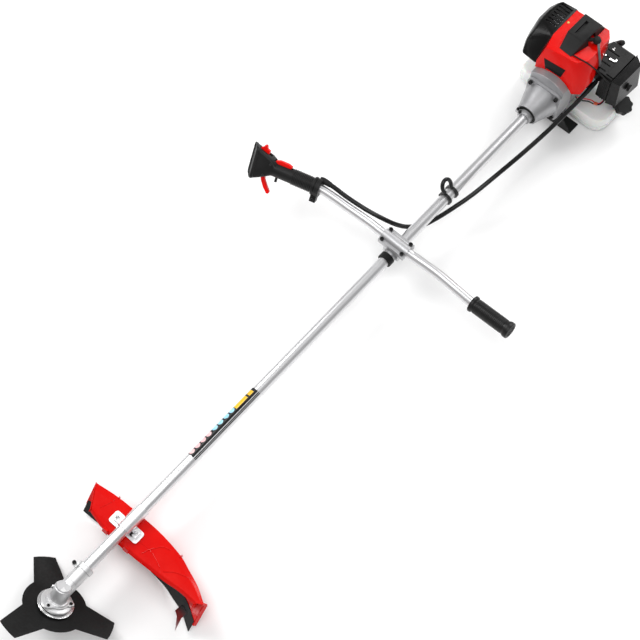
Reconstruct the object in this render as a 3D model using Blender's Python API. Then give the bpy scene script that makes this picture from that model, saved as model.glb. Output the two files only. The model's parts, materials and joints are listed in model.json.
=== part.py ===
"""Petrol brush cutter with a three-tooth blade and a cross handlebar, as separate real pieces.

Metres, +Z up. The shaft lies along Y with the blade at -Y and the engine at +Y; +X is the
operator's left. Everything is laid out from two axes that cross at the gear head: the shaft
axis (local Y of the empty shaft_axis) and the blade axis (local Z of the empty head_axis).
The machine stands on z = 0 on its tank stand and on the lower edge of its guard.
"""
from math import atan2, cos, degrees, hypot, pi, radians, sin, sqrt

import bmesh
import bpy
import numpy as np
from mathutils import Matrix, Vector

# ---------------------------------------------------------------- driving dimensions
GAP = 0.0003                 # between faces that touch on the real machine
WORKING_GAP = 0.0005         # round shafts that turn

SHAFT_HEIGHT = 0.100         # shaft axis above the floor
STAND_Y = 1.620              # stand foot behind the gear head's centre, the part's origin

TUBE_RADIUS = 0.013
TUBE_WALL = 0.0015
TUBE_FRONT = 0.0453          # inside the gear case
TUBE_LENGTH = 1.500
DRIVE_RADIUS = 0.004

HEAD_ANGLE = radians(36.9)   # blade plane to shaft
BLADE_DROP = 0.0346          # blade below the crossing of the axes
BLADE_RADIUS = 0.1277
BLADE_HUB_RADIUS = 0.068
BLADE_THICKNESS = 0.0018
BLADE_BORE = 0.0127
BLADE_TEETH = 3
BLADE_TURN = radians(23.8)   # where the first tooth points
TOOTH_TIP_HALF = radians(10.8)
TOOTH_ROOT_HALF = radians(30.4)

GUARD_DECK_Z = -0.0170       # top of the guard's deck under the tube
GUARD_WALL = 0.0025
GUARD_DEPTH = 0.064          # red wall, measured along the blade axis
SKIRT_DEPTH = 0.085          # lower edge of the skirt at its ends, from the deck
SKIRT_WALL = 0.0022
BRACKET_Y = 0.192
BRACKET_X = -0.003

CLAMP_Y = 1.0450             # handlebar clamp
BAR_Z = 0.0300
BAR_RADIUS = 0.0110
BAR_WALL = 0.0015
HANGER_Y = 1.233

CABLE_RADIUS = 0.0054

COLLAR_Y = 1.5080            # front of the tube sleeve in the clutch housing
FLANGE_Y = 1.5850            # rear face of the clutch housing
BOLT_HALF_PITCH = 0.0373     # clutch housing screws, square pattern
DRUM_RADIUS = 0.0390
COVER_FRONT_Y = 1.6030
CRANKCASE_Y = 1.6303
CYLINDER_Y = 1.6650
STARTER_Y = 1.7003

TUBE_BACK = TUBE_FRONT + TUBE_LENGTH
FLOOR = -SHAFT_HEIGHT
SIDES = 24

ALONG_SHAFT = (-pi / 2, 0, 0)
ACROSS = (0, pi / 2, 0)
UPRIGHT = (0, 0, 0)


# ---------------------------------------------------------------- scene and materials
def clear_scene():
    for obj in list(bpy.data.objects):
        bpy.data.objects.remove(obj, do_unlink=True)


def look(name, colour, roughness, metallic=0.0):
    made = bpy.data.materials.new(name)
    made.use_nodes = True
    shader = made.node_tree.nodes["Principled BSDF"]
    shader.inputs["Base Color"].default_value = (*colour, 1)
    shader.inputs["Roughness"].default_value = roughness
    shader.inputs["Metallic"].default_value = metallic
    made.diffuse_color = (*colour, 1)
    return made


clear_scene()
ALUMINIUM = look("brushed_aluminium", (0.80, 0.80, 0.80), 0.30, 1.0)
CAST = look("cast_aluminium", (0.62, 0.62, 0.62), 0.45, 1.0)
STEEL = look("plain_steel", (0.55, 0.55, 0.56), 0.35, 1.0)
CHROME = look("chrome", (0.85, 0.85, 0.86), 0.10, 1.0)
BLADE_BLACK = look("blackened_blade", (0.015, 0.015, 0.016), 0.45, 0.3)
SCREW_BLACK = look("black_screw", (0.02, 0.02, 0.02), 0.40, 0.6)
BLACK = look("black_plastic", (0.02, 0.02, 0.02), 0.45)
RUBBER = look("black_rubber", (0.015, 0.015, 0.015), 0.75)
RED = look("red_plastic", (0.78, 0.02, 0.01), 0.30)
TANK_WHITE = look("tank_plastic", (0.85, 0.85, 0.83), 0.40)
PORCELAIN = look("plug_ceramic", (0.9, 0.9, 0.88), 0.25)


def empty(name, at, turn=UPRIGHT, parent=None):
    made = bpy.data.objects.new(name, None)
    bpy.context.scene.collection.objects.link(made)
    made.parent = parent
    made.location = at
    made.rotation_euler = turn
    return made


SHAFT = empty("shaft_axis", (0, -STAND_Y, SHAFT_HEIGHT))
HEAD = empty("head_axis", (0, 0, 0), (-HEAD_ANGLE, 0, 0), SHAFT)


# ---------------------------------------------------------------- shape helpers
def add(name, verts, faces, material, parent=None, at=(0, 0, 0), turn=UPRIGHT):
    """One object from plain vertices and faces, with its faces turned outwards."""
    mesh = bpy.data.meshes.new(name)
    mesh.from_pydata([tuple(v) for v in verts], [], faces)
    work = bmesh.new()
    work.from_mesh(mesh)
    bmesh.ops.recalc_face_normals(work, faces=work.faces)
    work.to_mesh(mesh)
    work.free()
    mesh.materials.append(material)
    mesh.shade_smooth()
    mesh.set_sharp_from_angle(angle=radians(35))
    made = bpy.data.objects.new(name, mesh)
    bpy.context.scene.collection.objects.link(made)
    made.parent = parent or SHAFT
    made.location = at
    made.rotation_euler = turn
    return made


def turned(name, profile, material, parent=None, at=(0, 0, 0), turn=UPRIGHT, sides=SIDES):
    """A closed (radius, height) outline turned about local Z."""
    verts, rings = [], []
    for radius, height in profile:
        count = 1 if radius == 0 else sides
        rings.append([len(verts) + i for i in range(count)])
        for i in range(count):
            angle = 2 * pi * i / sides
            verts.append((radius * cos(angle), radius * sin(angle), height))
    faces = []
    for first, second in zip(rings, rings[1:] + rings[:1]):
        if len(first) == len(second) == 1:
            continue
        for i in range(sides):
            j = (i + 1) % sides
            corners = [first[i % len(first)], first[j % len(first)],
                       second[j % len(second)], second[i % len(second)]]
            faces.append(list(dict.fromkeys(corners)))
    return add(name, verts, faces, material, parent, at, turn)


def ring_profile(inner, outer, low, high):
    return [(inner, low), (outer, low), (outer, high), (inner, high)]


def rod_profile(radius, low, high):
    return [(0, low), (radius, low), (radius, high), (0, high)]


def slab(name, outline, low, high, material, parent=None, at=(0, 0, 0), turn=UPRIGHT):
    """A flat outline in local XY, extruded from low to high along local Z."""
    count = len(outline)
    verts = [(x, y, low) for x, y in outline] + [(x, y, high) for x, y in outline]
    faces = [list(range(count)), list(range(count, 2 * count))]
    faces += [[i, (i + 1) % count, count + (i + 1) % count, count + i] for i in range(count)]
    return add(name, verts, faces, material, parent, at, turn)


def block(name, low, high, material, parent=None, bevel=0.0, at=(0, 0, 0), turn=UPRIGHT):
    outline = [(low[0], low[1]), (high[0], low[1]), (high[0], high[1]), (low[0], high[1])]
    made = slab(name, outline, low[2], high[2], material, parent, at, turn)
    if bevel:
        soften(made, bevel)
    return made


def soften(obj, width, segments=1):
    bevel = obj.modifiers.new("edges", "BEVEL")
    bevel.width = width
    bevel.segments = segments
    bevel.limit_method = "ANGLE"
    return obj


def hull(name, points, material, parent=None, at=(0, 0, 0), turn=UPRIGHT):
    """The convex solid round some corner points."""
    work = bmesh.new()
    for point in points:
        work.verts.new(point)
    result = bmesh.ops.convex_hull(work, input=work.verts)
    spare = [g for g in result["geom_interior"] if isinstance(g, bmesh.types.BMVert)]
    bmesh.ops.delete(work, geom=spare, context="VERTS")
    bmesh.ops.dissolve_limit(work, angle_limit=radians(1), verts=work.verts, edges=work.edges)
    work.verts.index_update()
    verts = [tuple(v.co) for v in work.verts]
    faces = [[v.index for v in f.verts] for f in work.faces]
    work.free()
    return add(name, verts, faces, material, parent, at, turn)


def smooth_path(points, steps):
    """Catmull-Rom curve through the points, with this many spans between each two."""
    points = [Vector(p) for p in points]
    ends = [2 * points[0] - points[1]] + points + [2 * points[-1] - points[-2]]
    path = []
    for a, b, c, d in zip(ends, ends[1:], ends[2:], ends[3:]):
        for i in range(steps):
            t = i / steps
            path.append(0.5 * (2 * b + (c - a) * t + (2 * a - 5 * b + 4 * c - d) * t * t
                               + (3 * b - a - 3 * c + d) * t ** 3))
    path.append(points[-1])
    return path


def frames_along(path):
    """An untwisted (side, up) pair square to the path at each of its points."""
    tangents = [(path[min(i + 1, len(path) - 1)] - path[max(i - 1, 0)]).normalized()
                for i in range(len(path))]
    side = tangents[0].orthogonal().normalized()
    pairs = []
    for tangent in tangents:
        side = (side - tangent * side.dot(tangent)).normalized()
        pairs.append((side, tangent.cross(side)))
    return pairs


def tube(name, path, radius, material, bore=0.0, sides=16, parent=None):
    """A round tube or rod along a path, open right through where it has a bore."""
    verts, faces = [], []
    pairs = frames_along(path)
    skins = [radius, bore] if bore else [radius]
    for skin in skins:
        for point, (side, up) in zip(path, pairs):
            for i in range(sides):
                angle = 2 * pi * i / sides
                verts.append(point + side * skin * cos(angle) + up * skin * sin(angle))
    count = len(path)
    for k in range(len(skins)):
        for row in range(count - 1):
            start = (k * count + row) * sides
            for i in range(sides):
                j = (i + 1) % sides
                faces.append([start + i, start + j, start + sides + j, start + sides + i])
    if bore:
        for row in (0, count - 1):
            outer, inner = row * sides, (count + row) * sides
            for i in range(sides):
                j = (i + 1) % sides
                faces.append([outer + i, outer + j, inner + j, inner + i])
    else:
        faces.append(list(range(sides)))
        faces.append(list(range((count - 1) * sides, count * sides)))
    return add(name, verts, faces, material, parent)


def as_tool(obj):
    obj.hide_render = True
    obj.display_type = "WIRE"
    return obj


def boolean(obj, other, operation):
    step = obj.modifiers.new(operation.lower() + "_" + other.name, "BOOLEAN")
    step.operation = operation
    step.solver = "EXACT"
    step.object = as_tool(other)
    return obj


def cut(obj, *tools):
    for tool in tools:
        boolean(obj, tool, "DIFFERENCE")
    return obj


def join(obj, *pieces):
    for piece in pieces:
        boolean(obj, piece, "UNION")
    return obj


def drill(name, at, turn, radius, low, high, parent=None):
    sides = 16 if radius < 0.010 else SIDES if radius < 0.030 else 44
    return turned(name, rod_profile(radius, low, high), STEEL, parent, at, turn, sides=sides)


def arc(centre, radius, start, stop, steps):
    return [(centre[0] + radius * cos(start + (stop - start) * i / steps),
             centre[1] + radius * sin(start + (stop - start) * i / steps))
            for i in range(steps + 1)]


def rounded_rectangle(half_x, half_y, corner, steps=3):
    outline = []
    for sx, sy, start in ((1, 1, 0), (-1, 1, 90), (-1, -1, 180), (1, -1, 270)):
        centre = (sx * (half_x - corner), sy * (half_y - corner))
        outline += arc(centre, corner, radians(start), radians(start + 90), steps)
    return outline


# ---------------------------------------------------------------- gear head
BARREL_RADIUS = 0.0185
BARREL_CAVITY = 0.0155
CASE_TOP = 0.0270
CASE_FLOOR = -0.0180
NECK_RADIUS = 0.0165
NECK_COLLAR_RADIUS = 0.0185
NECK_END = 0.0770
NECK_COLLAR_START = 0.0650
BEARING_BORE = 0.0140
OUTPUT_RADIUS = 0.0060
THREAD_RADIUS = 0.0048
GEAR_CONE = 0.0150           # slant length of both bevel gears
GEAR_TEETH = 19
PINION_TEETH = 14
COVER_RADIUS = 0.0335
COVER_BACK = -0.0255
SCREW_CIRCLE = 0.0290
PINCH_AT = (-0.0205, 0.0640, 0.0090)
GREASE_Z = 0.0040            # height of the grease screw on the barrel, along the blade axis


def bevel_angles():
    """Pitch cone half-angles of pinion and gear for the angle between the two shafts."""
    shaft_angle = pi / 2 + HEAD_ANGLE
    ratio = GEAR_TEETH / PINION_TEETH
    pinion = atan2(sin(shaft_angle), ratio + cos(shaft_angle))
    return pinion, shaft_angle - pinion


def toothed_ring(radius, depth, teeth):
    """A closed outline with square teeth, for gears whose teeth run clear of each other."""
    outline = []
    for k in range(teeth):
        for share, reach in ((0.05, radius), (0.45, radius), (0.55, radius - depth),
                             (0.95, radius - depth)):
            angle = 2 * pi * (k + share) / teeth
            outline.append((reach * cos(angle), reach * sin(angle)))
    return outline


def toothed_cone(name, wide, narrow, depth, teeth, wide_z, narrow_z, bore, material, parent,
                 at=(0, 0, 0), turn=UPRIGHT):
    """A bored bevel gear: a toothed ring that narrows from wide_z to narrow_z."""
    big = toothed_ring(wide, depth, teeth)
    small = toothed_ring(narrow, depth * narrow / wide, teeth)
    inner = [(bore * x / hypot(x, y), bore * y / hypot(x, y)) for x, y in big]
    rows = [(inner, wide_z), (big, wide_z), (small, narrow_z), (inner, narrow_z)]
    count = len(big)
    verts = [(x, y, z) for outline, z in rows for x, y in outline]
    faces = []
    for row in range(4):
        nxt = (row + 1) % 4
        for i in range(count):
            j = (i + 1) % count
            faces.append([row * count + i, row * count + j, nxt * count + j, nxt * count + i])
    return add(name, verts, faces, material, parent, at, turn)


def flange_outline():
    """A disc with three ears, one for each cover screw."""
    points = []
    for i in range(48):
        angle = 2 * pi * i / 48
        ear = max(0.0, cos(3 * (angle + pi / 2))) ** 3
        reach = 0.0250 + ear * (SCREW_CIRCLE + 0.0065 - 0.0250)
        points.append((reach * cos(angle), reach * sin(angle)))
    return points


def build_gear_case():
    barrel = [(0, CASE_FLOOR), (BARREL_RADIUS, CASE_FLOOR), (BARREL_RADIUS, 0.0215),
              (0.0170, 0.0235), (BARREL_CAVITY, 0.0240), (BARREL_CAVITY, CASE_TOP - 0.001),
              (BARREL_CAVITY - 0.001, CASE_TOP), (0, CASE_TOP)]
    case = turned("gear_case", barrel, CAST, HEAD)
    flange = slab("case_flange", flange_outline(), CASE_FLOOR, -0.0145, CAST, HEAD)
    neck = turned("case_neck", [(0, 0), (NECK_RADIUS, 0), (NECK_RADIUS, NECK_COLLAR_START),
                                (NECK_COLLAR_RADIUS, NECK_COLLAR_START + 0.0005),
                                (NECK_COLLAR_RADIUS, NECK_END - 0.001),
                                (NECK_COLLAR_RADIUS - 0.001, NECK_END), (0, NECK_END)],
                  CAST, None, (0, 0, 0), ALONG_SHAFT)
    lug = block("case_lug", (-0.0265, 0.0575, 0.0035), (-0.0120, 0.0705, 0.0145), CAST, None)
    cavity = turned("case_cavity", [(0, CASE_FLOOR - 0.001), (BEARING_BORE + GAP, CASE_FLOOR - 0.001),
                                    (BEARING_BORE + GAP, -0.0105), (BARREL_CAVITY, -0.0105),
                                    (BARREL_CAVITY, 0.0180), (0, 0.0180)], CAST, HEAD)
    journal = DRIVE_RADIUS + WORKING_GAP
    neck_bore = turned("neck_bore", [(0, 0.002), (0.0125, 0.002), (0.0125, 0.0270),
                                     (journal, 0.0270), (journal, 0.0360), (0.0110, 0.0360),
                                     (0.0110, TUBE_FRONT - GAP),
                                     (TUBE_RADIUS + GAP, TUBE_FRONT - GAP),
                                     (TUBE_RADIUS + GAP, 0.080), (0, 0.080)],
                       CAST, None, (0, 0, 0), ALONG_SHAFT)
    split = block("neck_split", (-0.0300, 0.0540, -0.0006), (-0.0100, 0.0800, 0.0006), CAST)
    pinch_hole = drill("pinch_hole", PINCH_AT, UPRIGHT, 0.0025 + GAP, -0.0070, 0.0070)
    grease_hole = drill("grease_hole", (-0.0240, 0, GREASE_Z), ACROSS, 0.0027 + GAP,
                        -0.002, 0.012, HEAD)
    join(case, flange, neck, lug)
    cut(case, cavity, neck_bore, split, pinch_hole, grease_hole)


def build_output_shaft():
    turned("output_shaft", [(0, -0.0530), (THREAD_RADIUS, -0.0530), (THREAD_RADIUS, -0.0405),
                            (OUTPUT_RADIUS, -0.0400), (OUTPUT_RADIUS, -0.0036), (0, -0.0036)],
           STEEL, HEAD, sides=20)
    turned("output_bearing", ring_profile(OUTPUT_RADIUS + GAP, BEARING_BORE, -0.0250, -0.0112),
           STEEL, HEAD)
    pinion_half, gear_half = bevel_angles()
    gear_tip = GEAR_CONE * sin(gear_half) - 0.0006
    face_start = 0.0095
    toothed_cone("bevel_gear", gear_tip, gear_tip * 0.72, 0.0014, GEAR_TEETH,
                 -0.0090, -0.0036, OUTPUT_RADIUS + GAP, STEEL, HEAD)
    toothed_cone("bevel_pinion", GEAR_CONE * sin(pinion_half) - 0.0006,
                 face_start * sin(pinion_half) - 0.0006, 0.0016, PINION_TEETH,
                 GEAR_CONE * cos(pinion_half) + 0.0030, face_start * cos(pinion_half) + 0.0030,
                 DRIVE_RADIUS + GAP, STEEL, None, (0, 0, 0), ALONG_SHAFT)


def build_bearing_cover():
    profile = [(BEARING_BORE + GAP, CASE_FLOOR - GAP), (0.0290, CASE_FLOOR - GAP), (COVER_RADIUS, -0.0200),
               (COVER_RADIUS, COVER_BACK + 0.0010), (COVER_RADIUS - 0.001, COVER_BACK),
               (BEARING_BORE + GAP, COVER_BACK)]
    turned("bearing_cover", profile, CAST, HEAD, sides=36)


def blade_outline():
    """Three flared teeth joined by arcs of the hub circle."""
    outline = []
    pitch = 2 * pi / BLADE_TEETH
    for k in range(BLADE_TEETH):
        centre = BLADE_TURN + k * pitch
        outline += arc((0, 0), BLADE_RADIUS, centre - TOOTH_TIP_HALF, centre + TOOTH_TIP_HALF, 4)
        outline += arc((0, 0), BLADE_HUB_RADIUS, centre + TOOTH_ROOT_HALF,
                       centre + pitch - TOOTH_ROOT_HALF, 6)
    return outline


def build_blade_stack():
    top = -BLADE_DROP + BLADE_THICKNESS / 2
    bottom = -BLADE_DROP - BLADE_THICKNESS / 2
    spigot = BLADE_BORE - GAP
    turned("upper_flange", [(OUTPUT_RADIUS + GAP, COVER_BACK - 0.0015), (0.0200, COVER_BACK - 0.0015),
                            (0.0385, -0.0280), (0.0390, -0.0290), (0.0385, -0.0300),
                            (0.0230, top + GAP), (spigot, top + GAP), (spigot, bottom - 0.001),
                            (OUTPUT_RADIUS + GAP, bottom - 0.001)], CHROME, HEAD, sides=32)
    blade = slab("blade", blade_outline(), bottom, top, BLADE_BLACK, HEAD)
    cut(blade, drill("blade_bore", (0, 0, -BLADE_DROP), UPRIGHT, BLADE_BORE, -0.003, 0.003, HEAD))
    washer_top = bottom - GAP
    turned("lower_flange", [(BLADE_BORE + 0.0006, washer_top), (0.0245, washer_top),
                            (0.0250, washer_top - 0.001), (0.0230, -0.0400),
                            (OUTPUT_RADIUS + GAP, -0.0400), (OUTPUT_RADIUS + GAP, -0.0375),
                            (BLADE_BORE + 0.0006, -0.0375)], CHROME, HEAD)
    turned("rider_cup", [(THREAD_RADIUS + 0.0007, -0.0403), (0.0260, -0.0403), (0.0300, -0.0425),
                         (0.0285, -0.0480), (0.0230, -0.0520), (0.0120, -0.0530),
                         (0.0120, -0.0515), (0.0220, -0.0505), (0.0265, -0.0470),
                         (0.0275, -0.0435), (0.0250, -0.0420), (THREAD_RADIUS + 0.0007, -0.0420)],
           STEEL, HEAD)
    nut = turned("blade_nut", rod_profile(0.0098, -0.0500, -0.0423), STEEL, HEAD, sides=6)
    cut(nut, drill("nut_bore", (0, 0, -0.0460), UPRIGHT, THREAD_RADIUS + GAP, -0.010, 0.010, HEAD))


# ---------------------------------------------------------------- shaft
def build_shaft():
    turned("shaft_tube", ring_profile(TUBE_RADIUS - TUBE_WALL, TUBE_RADIUS, TUBE_FRONT, TUBE_BACK),
           ALUMINIUM, None, (0, 0, 0), ALONG_SHAFT, sides=32)
    turned("drive_shaft", rod_profile(DRIVE_RADIUS, 0.0100, 1.5660), STEEL, None, (0, 0, 0),
           ALONG_SHAFT, sides=14)
    outer = TUBE_RADIUS - TUBE_WALL - GAP
    middles = [TUBE_FRONT + share * TUBE_LENGTH for share in (0.17, 0.5, 0.83)]
    profile = [(outer - 0.0010, middles[0] - 0.020), (outer, middles[0] - 0.020),
               (outer, middles[2] + 0.020), (outer - 0.0010, middles[2] + 0.020)]
    for middle in reversed(middles):
        profile += [(outer - 0.0010, middle + 0.012), (DRIVE_RADIUS + WORKING_GAP, middle + 0.012),
                    (DRIVE_RADIUS + WORKING_GAP, middle - 0.012), (outer - 0.0010, middle - 0.012)]
    turned("shaft_liner", profile, BLACK, None, (0, 0, 0), ALONG_SHAFT, sides=20)


# ---------------------------------------------------------------- guard
GUARD_REAR = [(-0.119, 0.219), (-0.060, 0.2275), (0.000, 0.2300), (0.060, 0.2300),
              (0.120, 0.2230), (0.158, 0.2110), (0.192, 0.1990), (0.227, 0.1800)]
GUARD_FRONT = [(-0.087, 0.172), (-0.045, 0.1630), (0.000, 0.1600), (0.045, 0.1610),
               (0.095, 0.1640), (0.133, 0.1670), (0.170, 0.1720), (0.212, 0.1720)]
GUARD_STEPS = 3


def blade_axis_down(length):
    """A move along the blade axis, away from the shaft, in shaft coordinates."""
    return Vector((0, -sin(HEAD_ANGLE), -cos(HEAD_ANGLE))) * length


def shell(name, rows, wall, material):
    """A thin curved plate over a grid of points, thickened to one closed solid."""
    count = len(rows[0])
    verts = [tuple(p) for row in rows for p in row]
    faces = [[r * count + i, r * count + i + 1, (r + 1) * count + i + 1, (r + 1) * count + i]
             for r in range(len(rows) - 1) for i in range(count - 1)]
    made = add(name, verts, faces, material)
    thick = made.modifiers.new("wall", "SOLIDIFY")
    thick.thickness = wall
    thick.offset = 0
    thick.use_even_offset = True
    return made


def guard_rows():
    """Rows from the wall's lower edge, over the deck, to the lip at the deck's front."""
    rear = smooth_path([(x, y, GUARD_DECK_Z - 0.006) for x, y in GUARD_REAR], GUARD_STEPS)
    front = smooth_path([(x, y, GUARD_DECK_Z - 0.0013) for x, y in GUARD_FRONT], GUARD_STEPS)
    crease = [back.lerp(lead, 0.28) + Vector((0, 0, 0.0035)) for back, lead in zip(rear, front)]
    low = [p + blade_axis_down(GUARD_DEPTH) for p in rear]
    lip = [p + blade_axis_down(0.010) for p in front]
    return [low, rear, crease, front, lip]


def build_skirt(low, rear):
    """The black strip inside the wall's lower edge; its middle rests on the floor."""
    offset = (GUARD_WALL + SKIRT_WALL) / 2 + 0.0005
    tops, bottoms = [], []
    for k, (edge, top) in enumerate(zip(low, rear)):
        along = (low[min(k + 1, len(low) - 1)] - low[max(k - 1, 0)]).normalized()
        inward = blade_axis_down(1).cross(along)
        inward *= -offset if inward.y > 0 else offset
        start = top + inward
        bulge = max(0.0, 1 - ((top.x - 0.030) / 0.150) ** 2)
        depth = SKIRT_DEPTH + 0.014 * bulge
        reach = (start.z - FLOOR - 0.0007) / cos(HEAD_ANGLE)
        tops.append(start + blade_axis_down(GUARD_DEPTH - 0.012))
        bottoms.append(start + blade_axis_down(min(depth, reach)))
    return shell("guard_skirt", [tops, bottoms], SKIRT_WALL, BLACK)


def build_guard():
    rows = guard_rows()
    guard = shell("guard", rows, GUARD_WALL, RED)
    build_skirt(rows[0], rows[1])
    holes = []
    for side in (-1, 1):
        x = BRACKET_X + side * 0.0260
        holes.append(drill("guard_hole_" + str(side + 1), (x, BRACKET_Y, GUARD_DECK_Z), UPRIGHT,
                           0.0033, -0.012, 0.012))
    bracket = slab("guard_bracket", rounded_rectangle(0.0400, 0.0148, 0.006), 0, 0.0024, ALUMINIUM,
                   None, (BRACKET_X, BRACKET_Y - 0.0015, GUARD_DECK_Z + GAP))
    cut(guard, *holes)
    cut(bracket, *holes)
    ear_low, ear_high = -TUBE_RADIUS + 0.0008, -TUBE_RADIUS + 0.0040
    cap = turned("guard_clamp", rod_profile(TUBE_RADIUS + 0.0026, 0.1800, 0.2400), ALUMINIUM,
                 None, (0, 0, 0), ALONG_SHAFT)
    ears = block("guard_clamp_ears", (BRACKET_X - 0.0325, BRACKET_Y - 0.008, ear_low - 0.0010),
                 (BRACKET_X + 0.0325, BRACKET_Y + 0.008, ear_high), ALUMINIUM)
    join(cap, ears)
    cut(cap, drill("guard_clamp_bore", (0, 0, 0), ALONG_SHAFT, TUBE_RADIUS + GAP, 0.170, 0.250),
        block("guard_clamp_under", (-0.040, 0.170, -0.030), (0.040, 0.250, ear_low), ALUMINIUM),
        *holes)


def build_knife():
    """A line knife under the guard's outer end; it points in, across the blade's path."""
    outline = [(0.1800, 0.1720), (0.1905, 0.1687), (0.2020, 0.1641), (0.2020, 0.1460),
               (0.2160, 0.1060), (0.1930, 0.1400), (0.1810, 0.1480)]
    slab("line_knife", outline, 0.0300, 0.0318, STEEL, HEAD)


# ---------------------------------------------------------------- harness hanger
def build_hanger():
    inner, outer = TUBE_RADIUS + GAP, TUBE_RADIUS + 0.0042
    hanger = turned("harness_hanger", ring_profile(inner, outer, HANGER_Y - 0.0155,
                                                   HANGER_Y - 0.0085), SCREW_BLACK, None,
                    (0, 0, 0), ALONG_SHAFT)
    second = turned("hanger_ring_rear", ring_profile(inner, outer, HANGER_Y + 0.0085,
                                                     HANGER_Y + 0.0155), SCREW_BLACK, None,
                    (0, 0, 0), ALONG_SHAFT)
    loop = []
    for i in range(17):
        angle = pi * (-0.18 + 1.36 * i / 16)
        loop.append(Vector((-0.0090 - 0.008 * sin(angle), HANGER_Y + 0.0135 * cos(angle),
                            0.0300 + 0.0160 * sin(angle))))
    start = Vector((-0.0040, HANGER_Y + 0.0120, 0.0150))
    stop = Vector((-0.0040, HANGER_Y - 0.0120, 0.0150))
    rod = tube("hanger_loop", [start] + loop + [stop], 0.0048, SCREW_BLACK, sides=10)
    join(hanger, second, rod)


# ---------------------------------------------------------------- handlebar
BAR_POINTS = [(-0.318, 1.0030, 0.0440), (-0.262, 1.0190, 0.0450), (-0.203, 1.0320, 0.0440),
              (-0.132, 1.0390, 0.0380), (-0.079, 1.0440, 0.0330), (-0.050, 1.0450, 0.0301),
              (-0.044, 1.0450, 0.0300), (0.044, 1.0450, 0.0300), (0.050, 1.0451, 0.0301),
              (0.079, 1.0455, 0.0330),
              (0.125, 1.0450, 0.0380), (0.185, 1.0390, 0.0430), (0.222, 1.0365, 0.0455),
              (0.270, 1.0360, 0.0490), (0.316, 1.0360, 0.0520)]
CLAMP_HALF_X = 0.0360
CLAMP_HALF_Y = 0.0205
CLAMP_BOLTS = [(x, y) for x in (-0.0285, 0.0285) for y in (-0.0160, 0.0160)]
CLAMP_EAR = 0.0060           # height of the ears the bolt heads sit on
GRIP_START = Vector((0.2280, 1.0365, 0.0459))
GRIP_END = Vector((0.3180, 1.0360, 0.0522))


def build_handlebar():
    tube("handlebar", smooth_path(BAR_POINTS, 2), BAR_RADIUS, ALUMINIUM, BAR_RADIUS - BAR_WALL, 14)


def build_clamp():
    """Upper cap, lower seat and strap: the bar between the first two, the shaft below."""
    split = BAR_Z
    bar_bore = drill("clamp_bar_bore", (0, CLAMP_Y, BAR_Z), ACROSS, BAR_RADIUS + GAP, -0.050, 0.050)
    shaft_bore = drill("clamp_shaft_bore", (0, 0, 0), ALONG_SHAFT, TUBE_RADIUS + GAP, 1.0, 1.1)
    screw_holes = [drill("clamp_hole_" + str(k), (x, CLAMP_Y + y, BAR_Z), UPRIGHT, 0.0028 + GAP,
                         -0.040, 0.040) for k, (x, y) in enumerate(CLAMP_BOLTS)]
    crown = arc((0, 0), BAR_RADIUS + 0.0036, radians(25), radians(155), 10)
    inside = arc((0, 0), BAR_RADIUS + GAP, radians(177), radians(3), 12)
    section = [(CLAMP_HALF_Y, 0.0006), (CLAMP_HALF_Y, CLAMP_EAR)] + crown
    section += [(-CLAMP_HALF_Y, CLAMP_EAR), (-CLAMP_HALF_Y, 0.0006)] + inside
    top = slab("handle_clamp_upper", [(-z, y) for y, z in section], -CLAMP_HALF_X, CLAMP_HALF_X,
               CAST, None, (0, CLAMP_Y, split), ACROSS)
    pockets = [drill("clamp_pocket_" + str(k), (x, CLAMP_Y + y, split + CLAMP_EAR), UPRIGHT, 0.0052,
                     0, 0.020) for k, (x, y) in enumerate(CLAMP_BOLTS)]
    cut(top, *pockets, *screw_holes)
    seat = block("handle_clamp_lower", (-CLAMP_HALF_X, CLAMP_Y - CLAMP_HALF_Y, split - 0.0080),
                 (CLAMP_HALF_X, CLAMP_Y + CLAMP_HALF_Y, split - 0.0006), CAST)
    saddle = block("clamp_saddle", (-0.0210, CLAMP_Y - 0.0190, 0.0006),
                   (0.0210, CLAMP_Y + 0.0190, split - 0.0060), CAST)
    join(seat, saddle)
    cut(seat, bar_bore, shaft_bore, *screw_holes)
    strap = turned("handle_clamp_strap", rod_profile(TUBE_RADIUS + 0.0040, CLAMP_Y - 0.0180,
                                                     CLAMP_Y + 0.0180), CAST, None, (0, 0, 0),
                   ALONG_SHAFT)
    wings = block("clamp_wings", (-0.0210, CLAMP_Y - 0.0180, -0.0060),
                  (0.0210, CLAMP_Y + 0.0180, 0), CAST)
    join(strap, wings)
    cut(strap, block("clamp_strap_top", (-0.03, CLAMP_Y - 0.03, 0.0), (0.03, CLAMP_Y + 0.03, 0.03),
                     CAST), shaft_bore)
    collar = turned("tube_collar", rod_profile(0.0172, 1.0050, 1.0210), RUBBER, None, (0, 0, 0),
                    ALONG_SHAFT)
    tab = block("collar_tab", (-0.0030, 1.0080, -0.0240), (0.0030, 1.0180, -0.0150), RUBBER)
    join(collar, tab)
    cut(collar, shaft_bore)


def along_turn(direction):
    """Euler angles that point local Z along a direction."""
    return Vector(direction).to_track_quat("Z", "Y").to_euler()


def build_plain_grip():
    axis = GRIP_END - GRIP_START
    length = axis.length
    bore = BAR_RADIUS + 0.0006
    profile = [(bore, -0.006), (0.0190, -0.006), (0.0190, 0.002), (0.0165, 0.006)]
    for k in range(5):
        middle = 0.016 + k * 0.016
        profile += [(0.0165, middle - 0.005), (0.0176, middle - 0.003), (0.0176, middle + 0.003),
                    (0.0165, middle + 0.005)]
    profile += [(0.0165, length - 0.004), (0.0195, length), (0.0195, length + 0.008),
                (0.0165, length + 0.011), (0, length + 0.011), (0, length + 0.002),
                (bore, length + 0.002)]
    turned("plain_grip", profile, RUBBER, None, GRIP_START, along_turn(axis), sides=18)


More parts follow.
